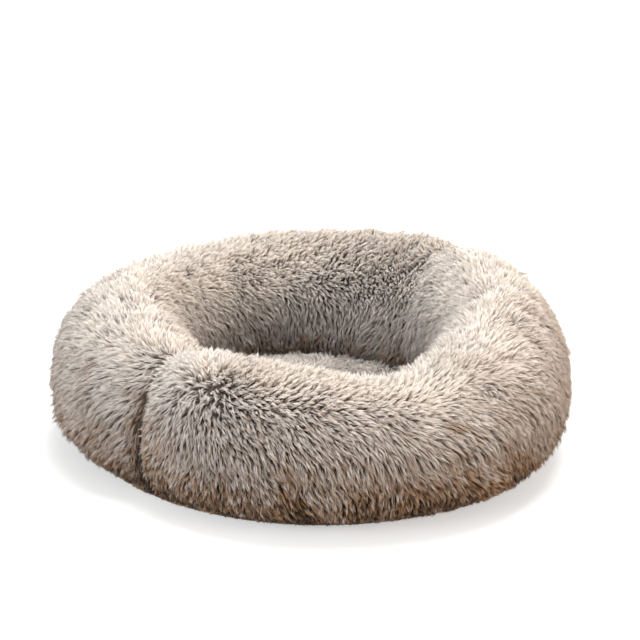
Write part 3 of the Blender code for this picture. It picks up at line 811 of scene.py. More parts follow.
def sweep_strands(
    ends: tuple[Array, Array, Array], shape: StrandShape, tones: Array
) -> tuple[Array, Array, Array]:
    """Sweep tapered three-sided strands along curves.

    A strand's middle line is the quadratic curve from its root to its tip that is drawn to
    its knee. Three points stand round the line at each ring, a third of a turn apart, at the
    radius times the root of 1 less the share of the length, and one point closes the tip.
    Each strand has a column of the map to itself or shares it with strands of its tone.

    Args:
        ends: Root, knee and tip points, one row for each strand.
        shape: The coat's sizes.
        tones: The strands' tones from 0 to 1.

    Returns:
        The points, the triangles and the map's pair for each triangle corner.
    """
    roots, knees, tips = ends
    shares = np.array((*shape.rings, 1.0))
    weights = np.stack([(1 - shares) ** 2, 2 * shares * (1 - shares), shares**2])
    line = sum(weight[:, None] * end[:, None, :] for weight, end in zip(weights, ends))
    along = tips - roots
    along /= np.linalg.norm(along, axis=1, keepdims=True) + 1e-9
    side = np.cross(along, knees - roots) + 1e-7
    side /= np.linalg.norm(side, axis=1, keepdims=True)
    other = np.cross(along, side)
    rings = len(shape.rings)
    radii = shape.radius * np.sqrt(1 - shares[:-1])
    around = (0.5 + np.arange(3) * 2 / 3) * math.pi
    spokes = side[:, None, :] * np.cos(around)[:, None] + other[:, None, :] * np.sin(around)[:, None]
    walls = line[:, :rings, None, :] + spokes[:, None, :, :] * radii[:, None, None]
    points = np.concatenate([walls.reshape(len(roots), rings * 3, 3), line[:, rings:, :]], axis=1)
    sides, turned = np.arange(3), (np.arange(3) + 1) % 3
    lows = 3 * np.arange(rings - 1)[:, None]
    low, low_next = (lows + sides).ravel(), (lows + turned).ravel()
    top = 3 * rings - 3
    bands = columns(low, low_next, low_next + 3), columns(low, low_next + 3, low + 3)
    faces = np.concatenate([*bands, columns(top + sides, top + turned, 3 * rings)])
    heights = np.append(np.repeat(shares[:-1], 3), 1.0)[faces]
    triangles = faces + (np.arange(len(roots)) * (3 * rings + 1))[:, None, None]
    left = np.floor(np.clip(tones, 0, 0.999) * TONE_COLUMNS) / TONE_COLUMNS
    across = left[:, None, None] + np.array(COLUMN_SHARES) / TONE_COLUMNS
    corner_uv = columns(across, MAP_MARGIN + (1 - 2 * MAP_MARGIN) * heights)
    return points, triangles.reshape(-1, 3), corner_uv


@dataclass(kw_only=True)
class Pile:
    """Long pile on a surface: locks of strands that lean, gather at their tips and differ in tone.

    The floor is the least height of a strand, to which its tuft adds up to the floor's spread.
    A pair gives the ends of an even random range.
    """

    surface: Surface
    finish: Material
    name: str
    slot: str
    root_inset: float
    sectors: int
    locks: dict[Coat, int]
    shapes: dict[Coat, StrandShape]
    floor: float = 0.0006
    floor_spread: float = 0.0055
    floor_range: tuple[float, float] = (0.7, 1.0)
    tufts: Noise = Noise(1.6, 0.011, 17)
    jitter: float = 0.20
    lock_tone_spread: float = 0.10
    strand_tone_spread: float = 0.05
    apart_range: tuple[float, float] = (0.05, 1.0)
    reach_range: tuple[float, float] = (0.82, 1.12)
    height_range: tuple[float, float] = (0.84, 1.06)
    knee_share: float = 0.34
    knee_height_share: float = 0.86

    def places(self, count: int, seed: int) -> tuple[Array, Array]:
        """Return the coordinates of evenly spread places."""
        raise NotImplementedError

    def lie(self, at: Places) -> Array:
        """Return which way the pile leans and how far, as two columns along the coordinates."""
        raise NotImplementedError

    def tone(self, at: Places) -> Array:
        """Return the pile's tone at places, from 0 to 1, before each lock's own."""
        raise NotImplementedError

    def trim(self, at: Places) -> Array:
        """Return the share of its height that the pile has at places."""
        raise NotImplementedError

    def rein(self, u: Array, v: Array, tip_u: Array, share: Array) -> Array:
        """Return the tips' first coordinates, held back where the surface needs it."""
        return tip_u

    def bare(self, u: Array, v: Array) -> Array:
        """Return whether places carry no strands."""
        return np.zeros(np.shape(u), bool)

    def settle(self, points: Array, lowest: Array) -> Array:
        """Return the points, with those under a lowest height lifted to it."""
        return columns(points[..., 0], points[..., 1], np.maximum(points[..., 2], lowest))

    def grow(self, coat: Coat) -> tuple[Array, ...]:
        """Grow one coat.

        Each lock has a root place, a lean and a height. Its strands start in a small disc round
        the root and gather towards the lock's tip. The knee stands over the first third of the
        way, so that a strand rises and then lies over.

        Args:
            coat: Which coat to grow.

        Returns:
            The strands' roots, knees, tips and tones.
        """
        shape = self.shapes[coat]
        seed = SEED + len(coat.value) + len(self.name)
        rng = np.random.default_rng(seed)
        u, v = self.places(self.locks[coat], seed)
        count, size = len(u), (len(u), shape.strands)
        at = Places(u, v, self.surface.points(u, v, self.root_inset))
        steps = self.surface.steps(u, v, self.root_inset)
        along, across = self.lie(at).T
        turn = rng.normal(0, self.jitter, count)
        cos, sin = np.cos(turn), np.sin(turn)
        turned = columns(along * cos - across * sin, along * sin + across * cos)
        tones = self.tone(at) + rng.normal(0, self.lock_tone_spread, count)
        heights = rng.uniform(*shape.tip_height, count) * self.trim(at)
        shift = turned * rng.uniform(*shape.lean, count)[:, None] / steps
        bearing = rng.uniform(0, 2 * math.pi, size)
        apart = shape.lock_radius * np.sqrt(rng.uniform(*self.apart_range, size))
        start_u = apart * np.cos(bearing) / steps[:, :1]
        start_v = apart * np.sin(bearing) / steps[:, 1:]
        root_u, root_v = u[:, None] + start_u, v[:, None] + start_v
        reach = rng.uniform(*self.reach_range, size)
        tip_u = u[:, None] + shift[:, :1] * reach + (1 - shape.gather) * start_u
        tip_u = self.rein(root_u, root_v, tip_u, rng.uniform(0, 1, size))
        tip_v = v[:, None] + shift[:, 1:] * reach + (1 - shape.gather) * start_v
        height = heights[:, None] * rng.uniform(*self.height_range, size)
        knee_u = root_u + self.knee_share * (tip_u - root_u)
        knee_v = root_v + self.knee_share * (tip_v - root_v)
        tufts = 0.5 + 0.5 * np.clip(self.tufts.at(at.points), -1, 1)
        lowest = self.floor + self.floor_spread * tufts[:, None] * rng.uniform(*self.floor_range, size)
        roots = self.surface.points(root_u, root_v, self.root_inset)
        knee_inset = self.root_inset * (1 - self.knee_height_share * height)
        knees = self.surface.points(knee_u, knee_v, knee_inset)
        tips = self.surface.points(tip_u, tip_v, self.root_inset * (1 - height))
        own_tones = np.clip(tones[:, None] + rng.normal(0, self.strand_tone_spread, size), 0, 1)
        kept = ~self.bare(root_u, root_v)
        ends = roots, self.settle(knees, lowest), self.settle(tips, lowest), own_tones
        return tuple(part[kept] for part in ends)

    def build(self) -> list[Piece]:
        """Grow both coats and split them into sectors, one piece each.

        Returns:
            The pieces.
        """
        pieces = []
        for coat in Coat:
            *ends, tones = self.grow(coat)
            bearing = np.degrees(np.arctan2(ends[0][:, 1], ends[0][:, 0])) % 360.0
            sector_of = (bearing * self.sectors / 360.0).astype(int) % self.sectors
            for sector in range(self.sectors):
                inside = sector_of == sector
                swept = sweep_strands(tuple(end[inside] for end in ends), self.shapes[coat], tones[inside])
                name = f"{self.name}_{coat.value}_{sector + 1:02d}"
                pieces.append(mesh_piece(name, *swept[:2], self.finish, self.slot, swept[2]))
        return pieces


@dataclass(kw_only=True)
class RingPile(Pile):
    """The ring's pile, parted over the crest and drawn in along the seams.

    Swells and windows are over angles round the bed, or over turns round the section where
    their name says crest, band, top or turn. Leans and sweeps are shares of a full lean. The
    front seam's painted shade, a darker tone in its groove, holds up to a turn, and its swell
    is over angles before the seam's line.
    """

    surface: RingForm
    well: WellForm
    area_steps: int = 241
    parting_turn: float = 100.0
    parting_width: float = 24.0
    parting_shifts: tuple[Swell, ...] = (Swell(-24.0, 90.0, 70.0), Swell(-44.0, 256.0, 34.0))
    parting_stray: Noise = Noise(12.0, 0.10, 5)
    swirls: tuple[Noise, ...] = (Noise(0.30, 0.085, 1), Noise(0.24, 0.030, 2))
    inside_from: float = 95.0
    inside_over: float = 30.0
    inside_swirl: Noise = Noise(0.3, 0.018, 18)
    inside_clumps: Noise = Noise(0.10, 0.020, 19)
    sweep: float = 0.85
    sweep_band: Window = Window(-50.0, 90.0, 130.0, 40.0)
    swept_left_from: tuple[float, float] = (165.0, 30.0)
    swept_right_to: tuple[float, float] = (345.0, 40.0)
    back_sweep: Swell = Swell(1.0, 80.0, 62.0)
    back_band: Window = Window(40.0, 40.0, 178.0, 35.0)
    laid_share: float = 0.7
    crest_band: Window = Window(50.0, 25.0, 172.0, 30.0)
    swept_loss: float = 0.3
    swept_loss_on_crest: float = 0.4
    whorl_angle: float = 243.5
    whorl_turn: float = 58.0
    whorl_edge: float = 8.0
    whorl_radius: float = 0.015
    whorl_core: float = 0.002
    whorl_pull: float = 0.5
    whorl_out: float = 0.7
    whorl_round: float = 0.3
    whorl_stir: Noise = Noise(1.1, 0.009, 15)
    whorl_stir_reach: float = 0.034
    whorl_calm: float = 0.7
    whorl_calm_reach: float = 0.040
    tufting: Noise = Noise(2.2, 0.014, 14)
    upright: float = 0.22
    crest_lift: float = 0.20
    tuft_lift: float = 0.40
    ridge_count: int = 33
    ridge_strays: tuple[Noise, ...] = (Noise(2.4, 0.07, 12), Noise(1.2, 0.03, 13))
    ridge_band: Window = Window(35.0, 25.0, 150.0, 25.0)
    ridge_gaps: tuple[Swell, ...] = (Swell(1.0, 262.0, 48.0), Swell(0.7, 95.0, 36.0))
    ridge_lean: float = 0.30
    # painted highlight and shade: the tone is lighter where the ridges rise and darker where they dip
    ridge_painted_light_and_shade: float = 0.18
    ridge_trim: float = 0.32
    seam_reach: float = 4.0
    seam_top: float = 90.0
    seam_calm: float = 0.75
    seam_pull: float = 0.5
    middle_tone: float = 0.56
    # painted shade: these four values darken the pile's tone towards the floor, more at one angle
    low_height: float = 0.095
    low_depth: float = 0.080
    low_growth: Swell = Swell(0.50, 316.0, 38.0)
    low_painted_shade: float = 0.50
    # painted light: these six values lighten the pile's tone to cream over the crest
    cream_turn: float = 30.0
    cream_shift: Swell = Swell(14.0, 272.0, 42.0)
    cream_over: float = 36.0
    cream_end: float = 185.0
    cream_fall: float = 60.0
    crest_painted_light: float = 0.42
    # the painted light over the crest is muted at these angles
    muted: tuple[Swell, ...] = (Swell(0.34, 186.0, 38.0), Swell(0.16, 95.0, 50.0), Swell(0.20, 350.0, 42.0))
    mottles: tuple[Noise, ...] = (Noise(0.09, 0.06, 3), Noise(0.09, 0.018, 4))
    # painted shade: the pile's tone before the front seam's line falls, darkest in its groove
    front_seam_painted_shade: tuple[tuple[float, Swell], ...] = (
        (40.0, Swell(0.26, 0.0, 2.8)),
        (85.0, Swell(1.3, 0.0, 1.1)),
    )
    clumps: tuple[Noise, ...] = (Noise(0.15, 0.026, 7), Noise(0.15, 0.012, 8))
    ragged: float = 0.45
    ragged_top: float = 8.0
    ragged_over: float = 30.0
    ragged_tufts: Noise = Noise(2.0, 0.008, 16)
    groove_shift: float = 0.5
    groove_spread: float = 1.15
    groove_depth: float = 0.92
    groove_top: float = 112.0
    groove_over: float = 24.0
    groove_edge: float = 0.50
    after_edge: tuple[float, float, float] = (-2.0, 3.2, 0.9)
    before_edge: tuple[float, float] = (1.8, 1.2)
    wobble_height: float = 0.8
    wobble_rate: float = 3.1
    wobble_start: float = 20.0
    tuft_waves: tuple[float, float, float] = (1.5, 2.2, 0.31)
    rein_reach: float = 12.0
    rein_top: float = 100.0
    slit_half_width: float = 0.75
    slit_top: float = 104.0
    slit_rear_share: float = 0.5
    skirt_radius: float = 0.2518
    skirt_height: float = 0.0165
    skirt_over: float = 0.011
    well_sink: float = 0.0015

    def places(self, count: int, seed: int) -> tuple[Array, Array]:
        """Spread places evenly over the ring's cover.

        An even sequence over the unit square is bent onto the surface: first by the share of
        area up to each angle, then at that angle by the share of area up to each turn. The
        area is summed on a grid with a row for each whole degree of angle.

        Args:
            count: How many places.
            seed: Picks them.

        Returns:
            Their angles and turns.
        """
        angles = np.linspace(0.0, 360.0, 361)
        turns = np.linspace(*self.surface.edges(), self.area_steps)
        grid_a, grid_t = np.meshgrid(angles, turns, indexing="ij")
        area = self.surface.steps(grid_a, grid_t, self.root_inset).prod(axis=-1)
        up_to_angle = np.concatenate([[0.0], np.cumsum(area.sum(axis=1))[:-1]])
        up_to_angle /= up_to_angle[-1]
        up_to_turn = np.concatenate([np.zeros((len(angles), 1)), np.cumsum(area, axis=1)[:, :-1]], axis=1)
        up_to_turn /= up_to_turn[:, -1:]
        along, shares = spread_evenly(count, seed).T
        found_angles = np.interp(along, up_to_angle, angles)
        rows = np.clip(np.round(found_angles).astype(int), 0, len(angles) - 1)
        column = np.clip((up_to_turn[rows] < shares[:, None]).sum(axis=1), 1, len(turns) - 1)
        low, high = up_to_turn[rows, column - 1], up_to_turn[rows, column]
        within = (shares - low) / np.maximum(high - low, 1e-9)
        return found_angles, turns[column - 1] + within * (turns[1] - turns[0])

    def swept(self, at: Places, lean: Array) -> tuple[Array, Array]:
        """Work out the sweep along the ring.

        Round the front the pile is swept away from the whorl, and over the back it is swept
        onward from the whorl to the rear seam on either side. On the parting it lies onward.

        Args:
            at: The places.
            lean: The lean off the parting.

        Returns:
            The sweep, and what the parting adds to it.
        """
        left = Window(*self.swept_left_from, self.whorl_angle, self.whorl_edge).at(at.u)
        right = Window(self.whorl_angle, self.whorl_edge, *self.swept_right_to).at(at.u)
        past = (at.u - self.whorl_angle) % 360.0
        meeting = (self.surface.rear_seam - self.whorl_angle) % 360.0
        stretches = past, meeting - past, 360.0 - past
        onward = np.prod([np.tanh(stretch / self.whorl_edge) for stretch in stretches], axis=0)
        back = self.back_sweep.at(at.u) * self.back_band.at(at.v)
        swept = self.sweep * self.sweep_band.at(at.v) * (right - left) + back * onward
        laid = (1 - np.abs(lean)) * (1 - np.clip(left + right, 0, 1))
        return swept, self.laid_share * laid * onward

    def lie(self, at: Places) -> Array:
        """Return which way the pile leans at places on the ring.

        Outside the parting it leans out and down, and inside it leans into the well, turned by
        slow and quick noise and swept along the ring. Beside the front seam it is drawn in, and
        at the whorl it points away on every side. The sum is scaled to less than 1 long, and on
        the crest, most of all in its tufts, the pile stands up more.

        Args:
            at: The places.

        Returns:
            Vectors less than 1 long as two columns: along the ring, and round its section.
        """
        u, v, points = at.u, at.v, at.points
        parting = self.parting_turn + total(self.parting_shifts, u)
        lean = np.tanh((v - parting - self.parting_stray.at(points)) / self.parting_width)
        whorl = np.array([[self.whorl_angle], [self.whorl_turn]])
        distance = np.linalg.norm(points - self.surface.points(*whorl, self.root_inset), axis=1)
        swirl = total(self.swirls, points)
        swirl = swirl + fade(distance, self.whorl_stir_reach) * self.whorl_stir.at(points)
        swirl = swirl + ease(v, self.inside_from, self.inside_over) * self.inside_swirl.at(points)
        swept, laid = self.swept(at, lean)
        phase, ridged = self.ridges(at)
        along = np.sin(swirl) + swept + self.ridge_lean * ridged * np.cos(phase) + laid
        crest = self.crest_band.at(v)
        loss = (self.swept_loss + self.swept_loss_on_crest * crest) * np.abs(swept)
        across = lean * np.cos(swirl) * (1 - loss)
        off_line = u - self.surface.front_seam - self.wobble(v)
        beside = Swell(1.0, 0.0, self.seam_reach).at(off_line) * (v < self.seam_top)
        outside = beside * (off_line < 0)
        along = along * (1 - self.seam_calm * outside) - self.seam_pull * (beside - outside)
        across = across - self.seam_pull * outside
        pull = self.whorl_pull * fade(distance, self.whorl_radius)
        off = columns(u - self.whorl_angle, v - self.whorl_turn) * self.surface.steps(u, v, self.root_inset)
        off_u, off_v = (off / (distance + self.whorl_core)[:, None]).T
        along = along * (1 - pull) + pull * (self.whorl_out * off_u + self.whorl_round * off_v)
        across = across * (1 - pull) + pull * (self.whorl_out * off_v - self.whorl_round * off_u)
        tufted = crest * np.clip(self.tufting.at(points), 0, 1)
        tufted = tufted * (1 - self.whorl_calm * fade(distance, self.whorl_calm_reach))
        lying = 1 - self.crest_lift * crest - self.tuft_lift * tufted
        full = (np.hypot(along, across) + self.upright) / lying
        return columns(along, across) / full[:, None]

    def ridges(self, at: Places) -> tuple[Array, Array]:
        """Return the soft ridges across the ring, over its sides and faintly over its rear.

        Args:
            at: The places.

        Returns:
            The phase at each place, a quarter turn on a ridge's line, and the ridges' share.
        """
        phase = self.ridge_count * np.radians(at.u) + total(self.ridge_strays, at.points)
        return phase, self.ridge_band.at(at.v) * (1 - total(self.ridge_gaps, at.u))

    def tone(self, at: Places) -> Array:
        """Return the tone at places on the ring.

        It rises from warm brown near the floor, which is painted shade, to grey taupe, and to
        cream over the crest, which is painted light, with slow and quick mottling of random tone.
        The painted light starts further up round the front and is muted at the left, the rear and
        the right. The tone is lighter where the ridges rise and darker where they dip, painted
        highlight and shade, and the pile before the front seam's line is darker, painted shade in
        the seam's groove.

        Args:
            at: The places.

        Returns:
            One tone for each place.
        """
        u, v = at.u, at.v
        # Painted shade: darker towards the floor.
        growth = 1 + self.low_growth.at(u)
        low = np.clip(growth * (self.low_height - at.points[:, 2]) / self.low_depth, 0, 1)
        # Painted light: cream over the crest, muted at some angles.
        crest = ease(v, self.cream_turn + self.cream_shift.at(u), self.cream_over)
        crest = crest * ease(v, self.cream_end, -self.cream_fall) * (1 - total(self.muted, u))
        phase, ridged = self.ridges(at)
        # Painted shade in the front seam's groove.
        before = self.surface.front_seam + self.wobble(v) - u
        shade = sum((before > 0) * (v < top) * swell.at(before) for top, swell in self.front_seam_painted_shade)
        tone = self.middle_tone - self.low_painted_shade * low + self.crest_painted_light * crest - shade
        # Painted highlight and shade on the ridges, and mottling of random tone.
        return tone + self.ridge_painted_light_and_shade * ridged * np.sin(phase) + total(self.mottles, at.points)

    def trim(self, at: Places) -> Array:
        """Return the share of its height that the pile has at places on the ring.

        Quick noise lifts and sinks it in clumps, more so on the inner side and near the floor,
        and it is short in the groove along a seam.

        Args:
            at: The places.

        Returns:
            One share for each place.
        """
        groove = self.surface.either_seam(at.u - self.wobble(at.v) + self.groove_shift, self.groove_spread)
        groove = groove * ease(at.v, self.groove_top, -self.groove_over)
        phase, ridged = self.ridges(at)
        clumps = 1 + total(self.clumps, at.points)
        inside = ease(at.v, self.inside_from, self.inside_over) * self.inside_clumps.at(at.points)
        low = self.ragged * ease(at.v, self.ragged_top, -self.ragged_over)
        ragged = low * np.clip(self.ragged_tufts.at(at.points), 0, 1)
        ridges = self.ridge_trim * ridged * np.sin(phase)
        return (clumps + inside + ragged + ridges) * (1 - self.groove_depth * groove)

    def wobble(self, v: Array) -> Array:
        """Return how far a seam strays along the ring at a turn, over two waves round a section."""
        return self.wobble_height * (1 + np.sin(np.radians(v * self.wobble_rate + self.wobble_start)))

    def rein(self, u: Array, v: Array, tip_u: Array, share: Array) -> Array:
        """Hold the tips on their roots' side of a seam's groove outside the crest.

        Past the seam the tips end in tufts, a ragged row close to its line, and before it
        further off. The tufts follow a sine of the turn whose phase strays by a slow sine. The
        distances are shares of the groove's edge: the nearest, the tufts' and the loose one
        after the line, and the nearest and the loose one before it.

        Args:
            u: The roots' angles.
            v: The roots' turns.
            tip_u: The free tips' angles.
            share: How ragged each tip is, from 0 to 1.

        Returns:
            The held tips' angles.
        """
        held = tip_u
        nearest, tufty, loose = self.after_edge
        nearest_before, loose_before = self.before_edge
        rate, stray, stray_rate = self.tuft_waves
        tufts = 0.5 + 0.5 * np.sin(rate * v + stray * np.sin(stray_rate * v))
        for seam in (self.surface.front_seam, self.surface.rear_seam):
            line = seam + self.wobble(v)
            after = line + self.groove_edge * (nearest + tufty * tufts + loose * share)
            before = line - self.groove_edge * (nearest_before + loose_before * share)
            close = (np.abs(u - line) < self.rein_reach) & (v < self.rein_top)
            reined = np.where(u > line, np.maximum(held, after), np.minimum(held, before))
            held = np.where(close, reined, held)
        return held

    def bare(self, u: Array, v: Array) -> Array:
        """Return whether places lie in the slit along a seam, which closes towards the crest.

        Args:
            u: Angles round the bed.
            v: Turns round the section.

        Returns:
            Truths, one for each place.
        """
        open_width = self.slit_half_width * ease(v, self.slit_top, -self.groove_over)
        off_front = np.abs(u - self.surface.front_seam - self.wobble(v))
        off_rear = np.abs(u - self.surface.rear_seam - self.wobble(v))
        return (off_front < open_width) | (off_rear < open_width * self.slit_rear_share)

    def settle(self, points: Array, lowest: Array) -> Array:
        """Return the points, with those over the well lifted onto it and the lowest pushed out.

        The pile near the floor hangs as a skirt round the base's edge.

        Args:
            points: Points of strands.
            lowest: The lowest height of each.

        Returns:
            The settled points.
        """
        radius = np.hypot(points[..., 0], points[..., 1])
        in_well = radius < self.well.radius
        on_well = self.well.height(radius) - self.well_sink + lowest
        settled = super().settle(points, np.where(in_well, on_well, lowest))
        low = ease(settled[..., 2], self.skirt_height, -self.skirt_over)
        reach = radius + np.maximum(self.skirt_radius + lowest - radius, 0) * low
        settled[..., :2] *= np.where(radius > self.well.radius, reach / radius, 1.0)[..., None]
        return settled


@dataclass(kw_only=True)
class WellPile(Pile):
    """The well's pile, brushed this way and that by use."""

    surface: WellForm
    margin: float = 0.003
    bearings: tuple[Noise, ...] = (Noise(2.6, 0.16, 31), Noise(1.2, 0.06, 32))
    full_lean: float = 0.9
    rim_lean: float = 0.6
    middle_tone: float = 0.60
    mottles: tuple[Noise, ...] = (Noise(0.10, 0.07, 33), Noise(0.08, 0.02, 34))
    clumps: Noise = Noise(0.15, 0.024, 35)

    def places(self, count: int, seed: int) -> tuple[Array, Array]:
        """Spread places evenly over the well's floor: equal areas by the root of a share.

        Args:
            count: How many places.
            seed: Picks them.

        Returns:
            Their x and y.
        """
        outward, around = spread_evenly(count, seed).T
        radius = (self.surface.radius - self.margin) * np.sqrt(outward)
        bearing = 2 * math.pi * around
        return radius * np.cos(bearing), radius * np.sin(bearing)

    def lie(self, at: Places) -> Array:
        """Return the lean: a slow noise picks the bearing, and at the rim it is outward.

        Args:
            at: The places.

        Returns:
            Vectors as two columns, along x and y.
        """
        bearing = total(self.bearings, at.points)
        share = np.clip(np.hypot(at.u, at.v) / self.surface.radius, 0, 1)[:, None] ** 4
        outward = self.rim_lean * columns(at.u, at.v) / self.surface.radius
        free = columns(np.cos(bearing), np.sin(bearing))
        return self.full_lean * (free * (1 - share) + outward * share)

    def tone(self, at: Places) -> Array:
        """Return the tone: a middling taupe to cream with slow and quick mottling."""
        return self.middle_tone + total(self.mottles, at.points)

    def trim(self, at: Places) -> Array:
        """Return the share of its height: quick noise lifts and sinks the pile in clumps."""
        return 1 + self.clumps.at(at.points)


@dataclass
class Bolster:
    """The ring: its two backed fur covers, its lining and its filling."""

    form: RingForm
    backing: Material
    lining: Material
    fibre: Material
    backing_inset: float = 0.0115
    backing_relief: Noise = Noise(0.0006, 0.02, 11)
    seam_gap: float = 0.0003
    seat_gap: float = 0.0003
    lining_inset: float = 0.0162
    fill_inset: float = 0.0195
    pucker: float = 0.0012
    puckers: Noise = Noise(1.0, 0.035, 21)
    inside_floor: float = 0.0030
    cover_steps: tuple[int, int] = (121, 60)
    tube_steps: tuple[int, int] = (160, 48)

    def cover(self, name: str, node: str, start: float, end: float) -> Piece:
        """Make one half of the backed cover, a closed shell open to the base and the well.

        The outer face is the ring's surface at the backing's depth, and the inner face the
        surface at the cover's full thickness. Each section is the outer line and the inner
        line back, and the half's ends are closed by strips between the two lines.

        Args:
            name: The piece's name.
            node: The CAD node that it replaces.
            start: The angle of the seam where it starts.
            end: The angle of the seam where it ends.

        Returns:
            The piece.
        """
        rows, turn_count = self.cover_steps
        turns = np.linspace(*self.form.edges(), turn_count)
        grid = np.meshgrid(np.linspace(start, end, rows), turns, indexing="ij")
        smooth = self.form.points(*grid, self.backing_inset)
        outer = self.form.points(*grid, self.backing_inset + self.backing_relief.at(smooth))
        inner = self.form.points(*grid, self.form.cover_thickness)
        sections = np.concatenate([outer, inner[:, ::-1]], axis=1)
        sections[..., 2] = np.maximum(sections[..., 2], self.inside_floor)
        away = math.radians((start + end) / 2)
        shift = np.array([math.cos(away), math.sin(away), 0.0]) * self.seam_gap / 2
        across = sections.shape[1]
        near = np.arange(turn_count - 1)
        far = across - 1 - near
        first = np.concatenate([columns(near, near + 1, far), columns(near + 1, far - 1, far)])
        last = first[:, ::-1] + (rows - 1) * across
        triangles = np.concatenate([grid_triangles(rows, across, False, True), first, last])
        piece = mesh_piece(name, sections + shift, triangles, self.backing, "frosted_fur")
        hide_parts(node)
        return piece

    def tube(self, name: str, node: str, slot: str, inset: float, finish: Material) -> Piece:
        """Make a closed ring inside the cover, with soft puckers round it.

        The ring is the bed's surface at an inset, less a shallow wave noise.

        Args:
            name: The piece's name.
            node: The CAD node that it replaces.
            slot: A slot name, passed on to mesh_piece.
            inset: Depth under the pile's tips.
            finish: The material.

        Returns:
            The piece.
        """
        angles = np.linspace(0.0, 360.0, self.tube_steps[0], endpoint=False)
        turns = np.linspace(-90.0, 270.0, self.tube_steps[1], endpoint=False)
        grid = np.meshgrid(angles, turns, indexing="ij")
        puckers = self.pucker * (1 + self.puckers.at(self.form.points(*grid, inset)))
        points = self.form.points(*grid, inset + puckers)
        lowest = self.inside_floor + inset - self.lining_inset + self.seat_gap
        points[..., 2] = np.maximum(points[..., 2], lowest)
        triangles = grid_triangles(*self.tube_steps, True, True)
        piece = mesh_piece(name, points, triangles, finish, slot)
        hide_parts(node)
        return piece

    def build(self) -> list[Piece]:
        """Make the covers, the lining and the filling.

        Returns:
            The pieces.
        """
        front, rear = self.form.front_seam, self.form.rear_seam
        return [
            self.cover("bolster_backing_front", "bolster_cover_front", front, rear + 360.0),
            self.cover("bolster_backing_rear", "bolster_cover_rear", rear, front),
            self.tube("bolster_lining", "bolster_liner", "nonwoven_lining", self.lining_inset, self.lining),
            self.tube("bolster_fibre", "bolster_fill", "polyester_fibre", self.fill_inset, self.fibre),
        ]


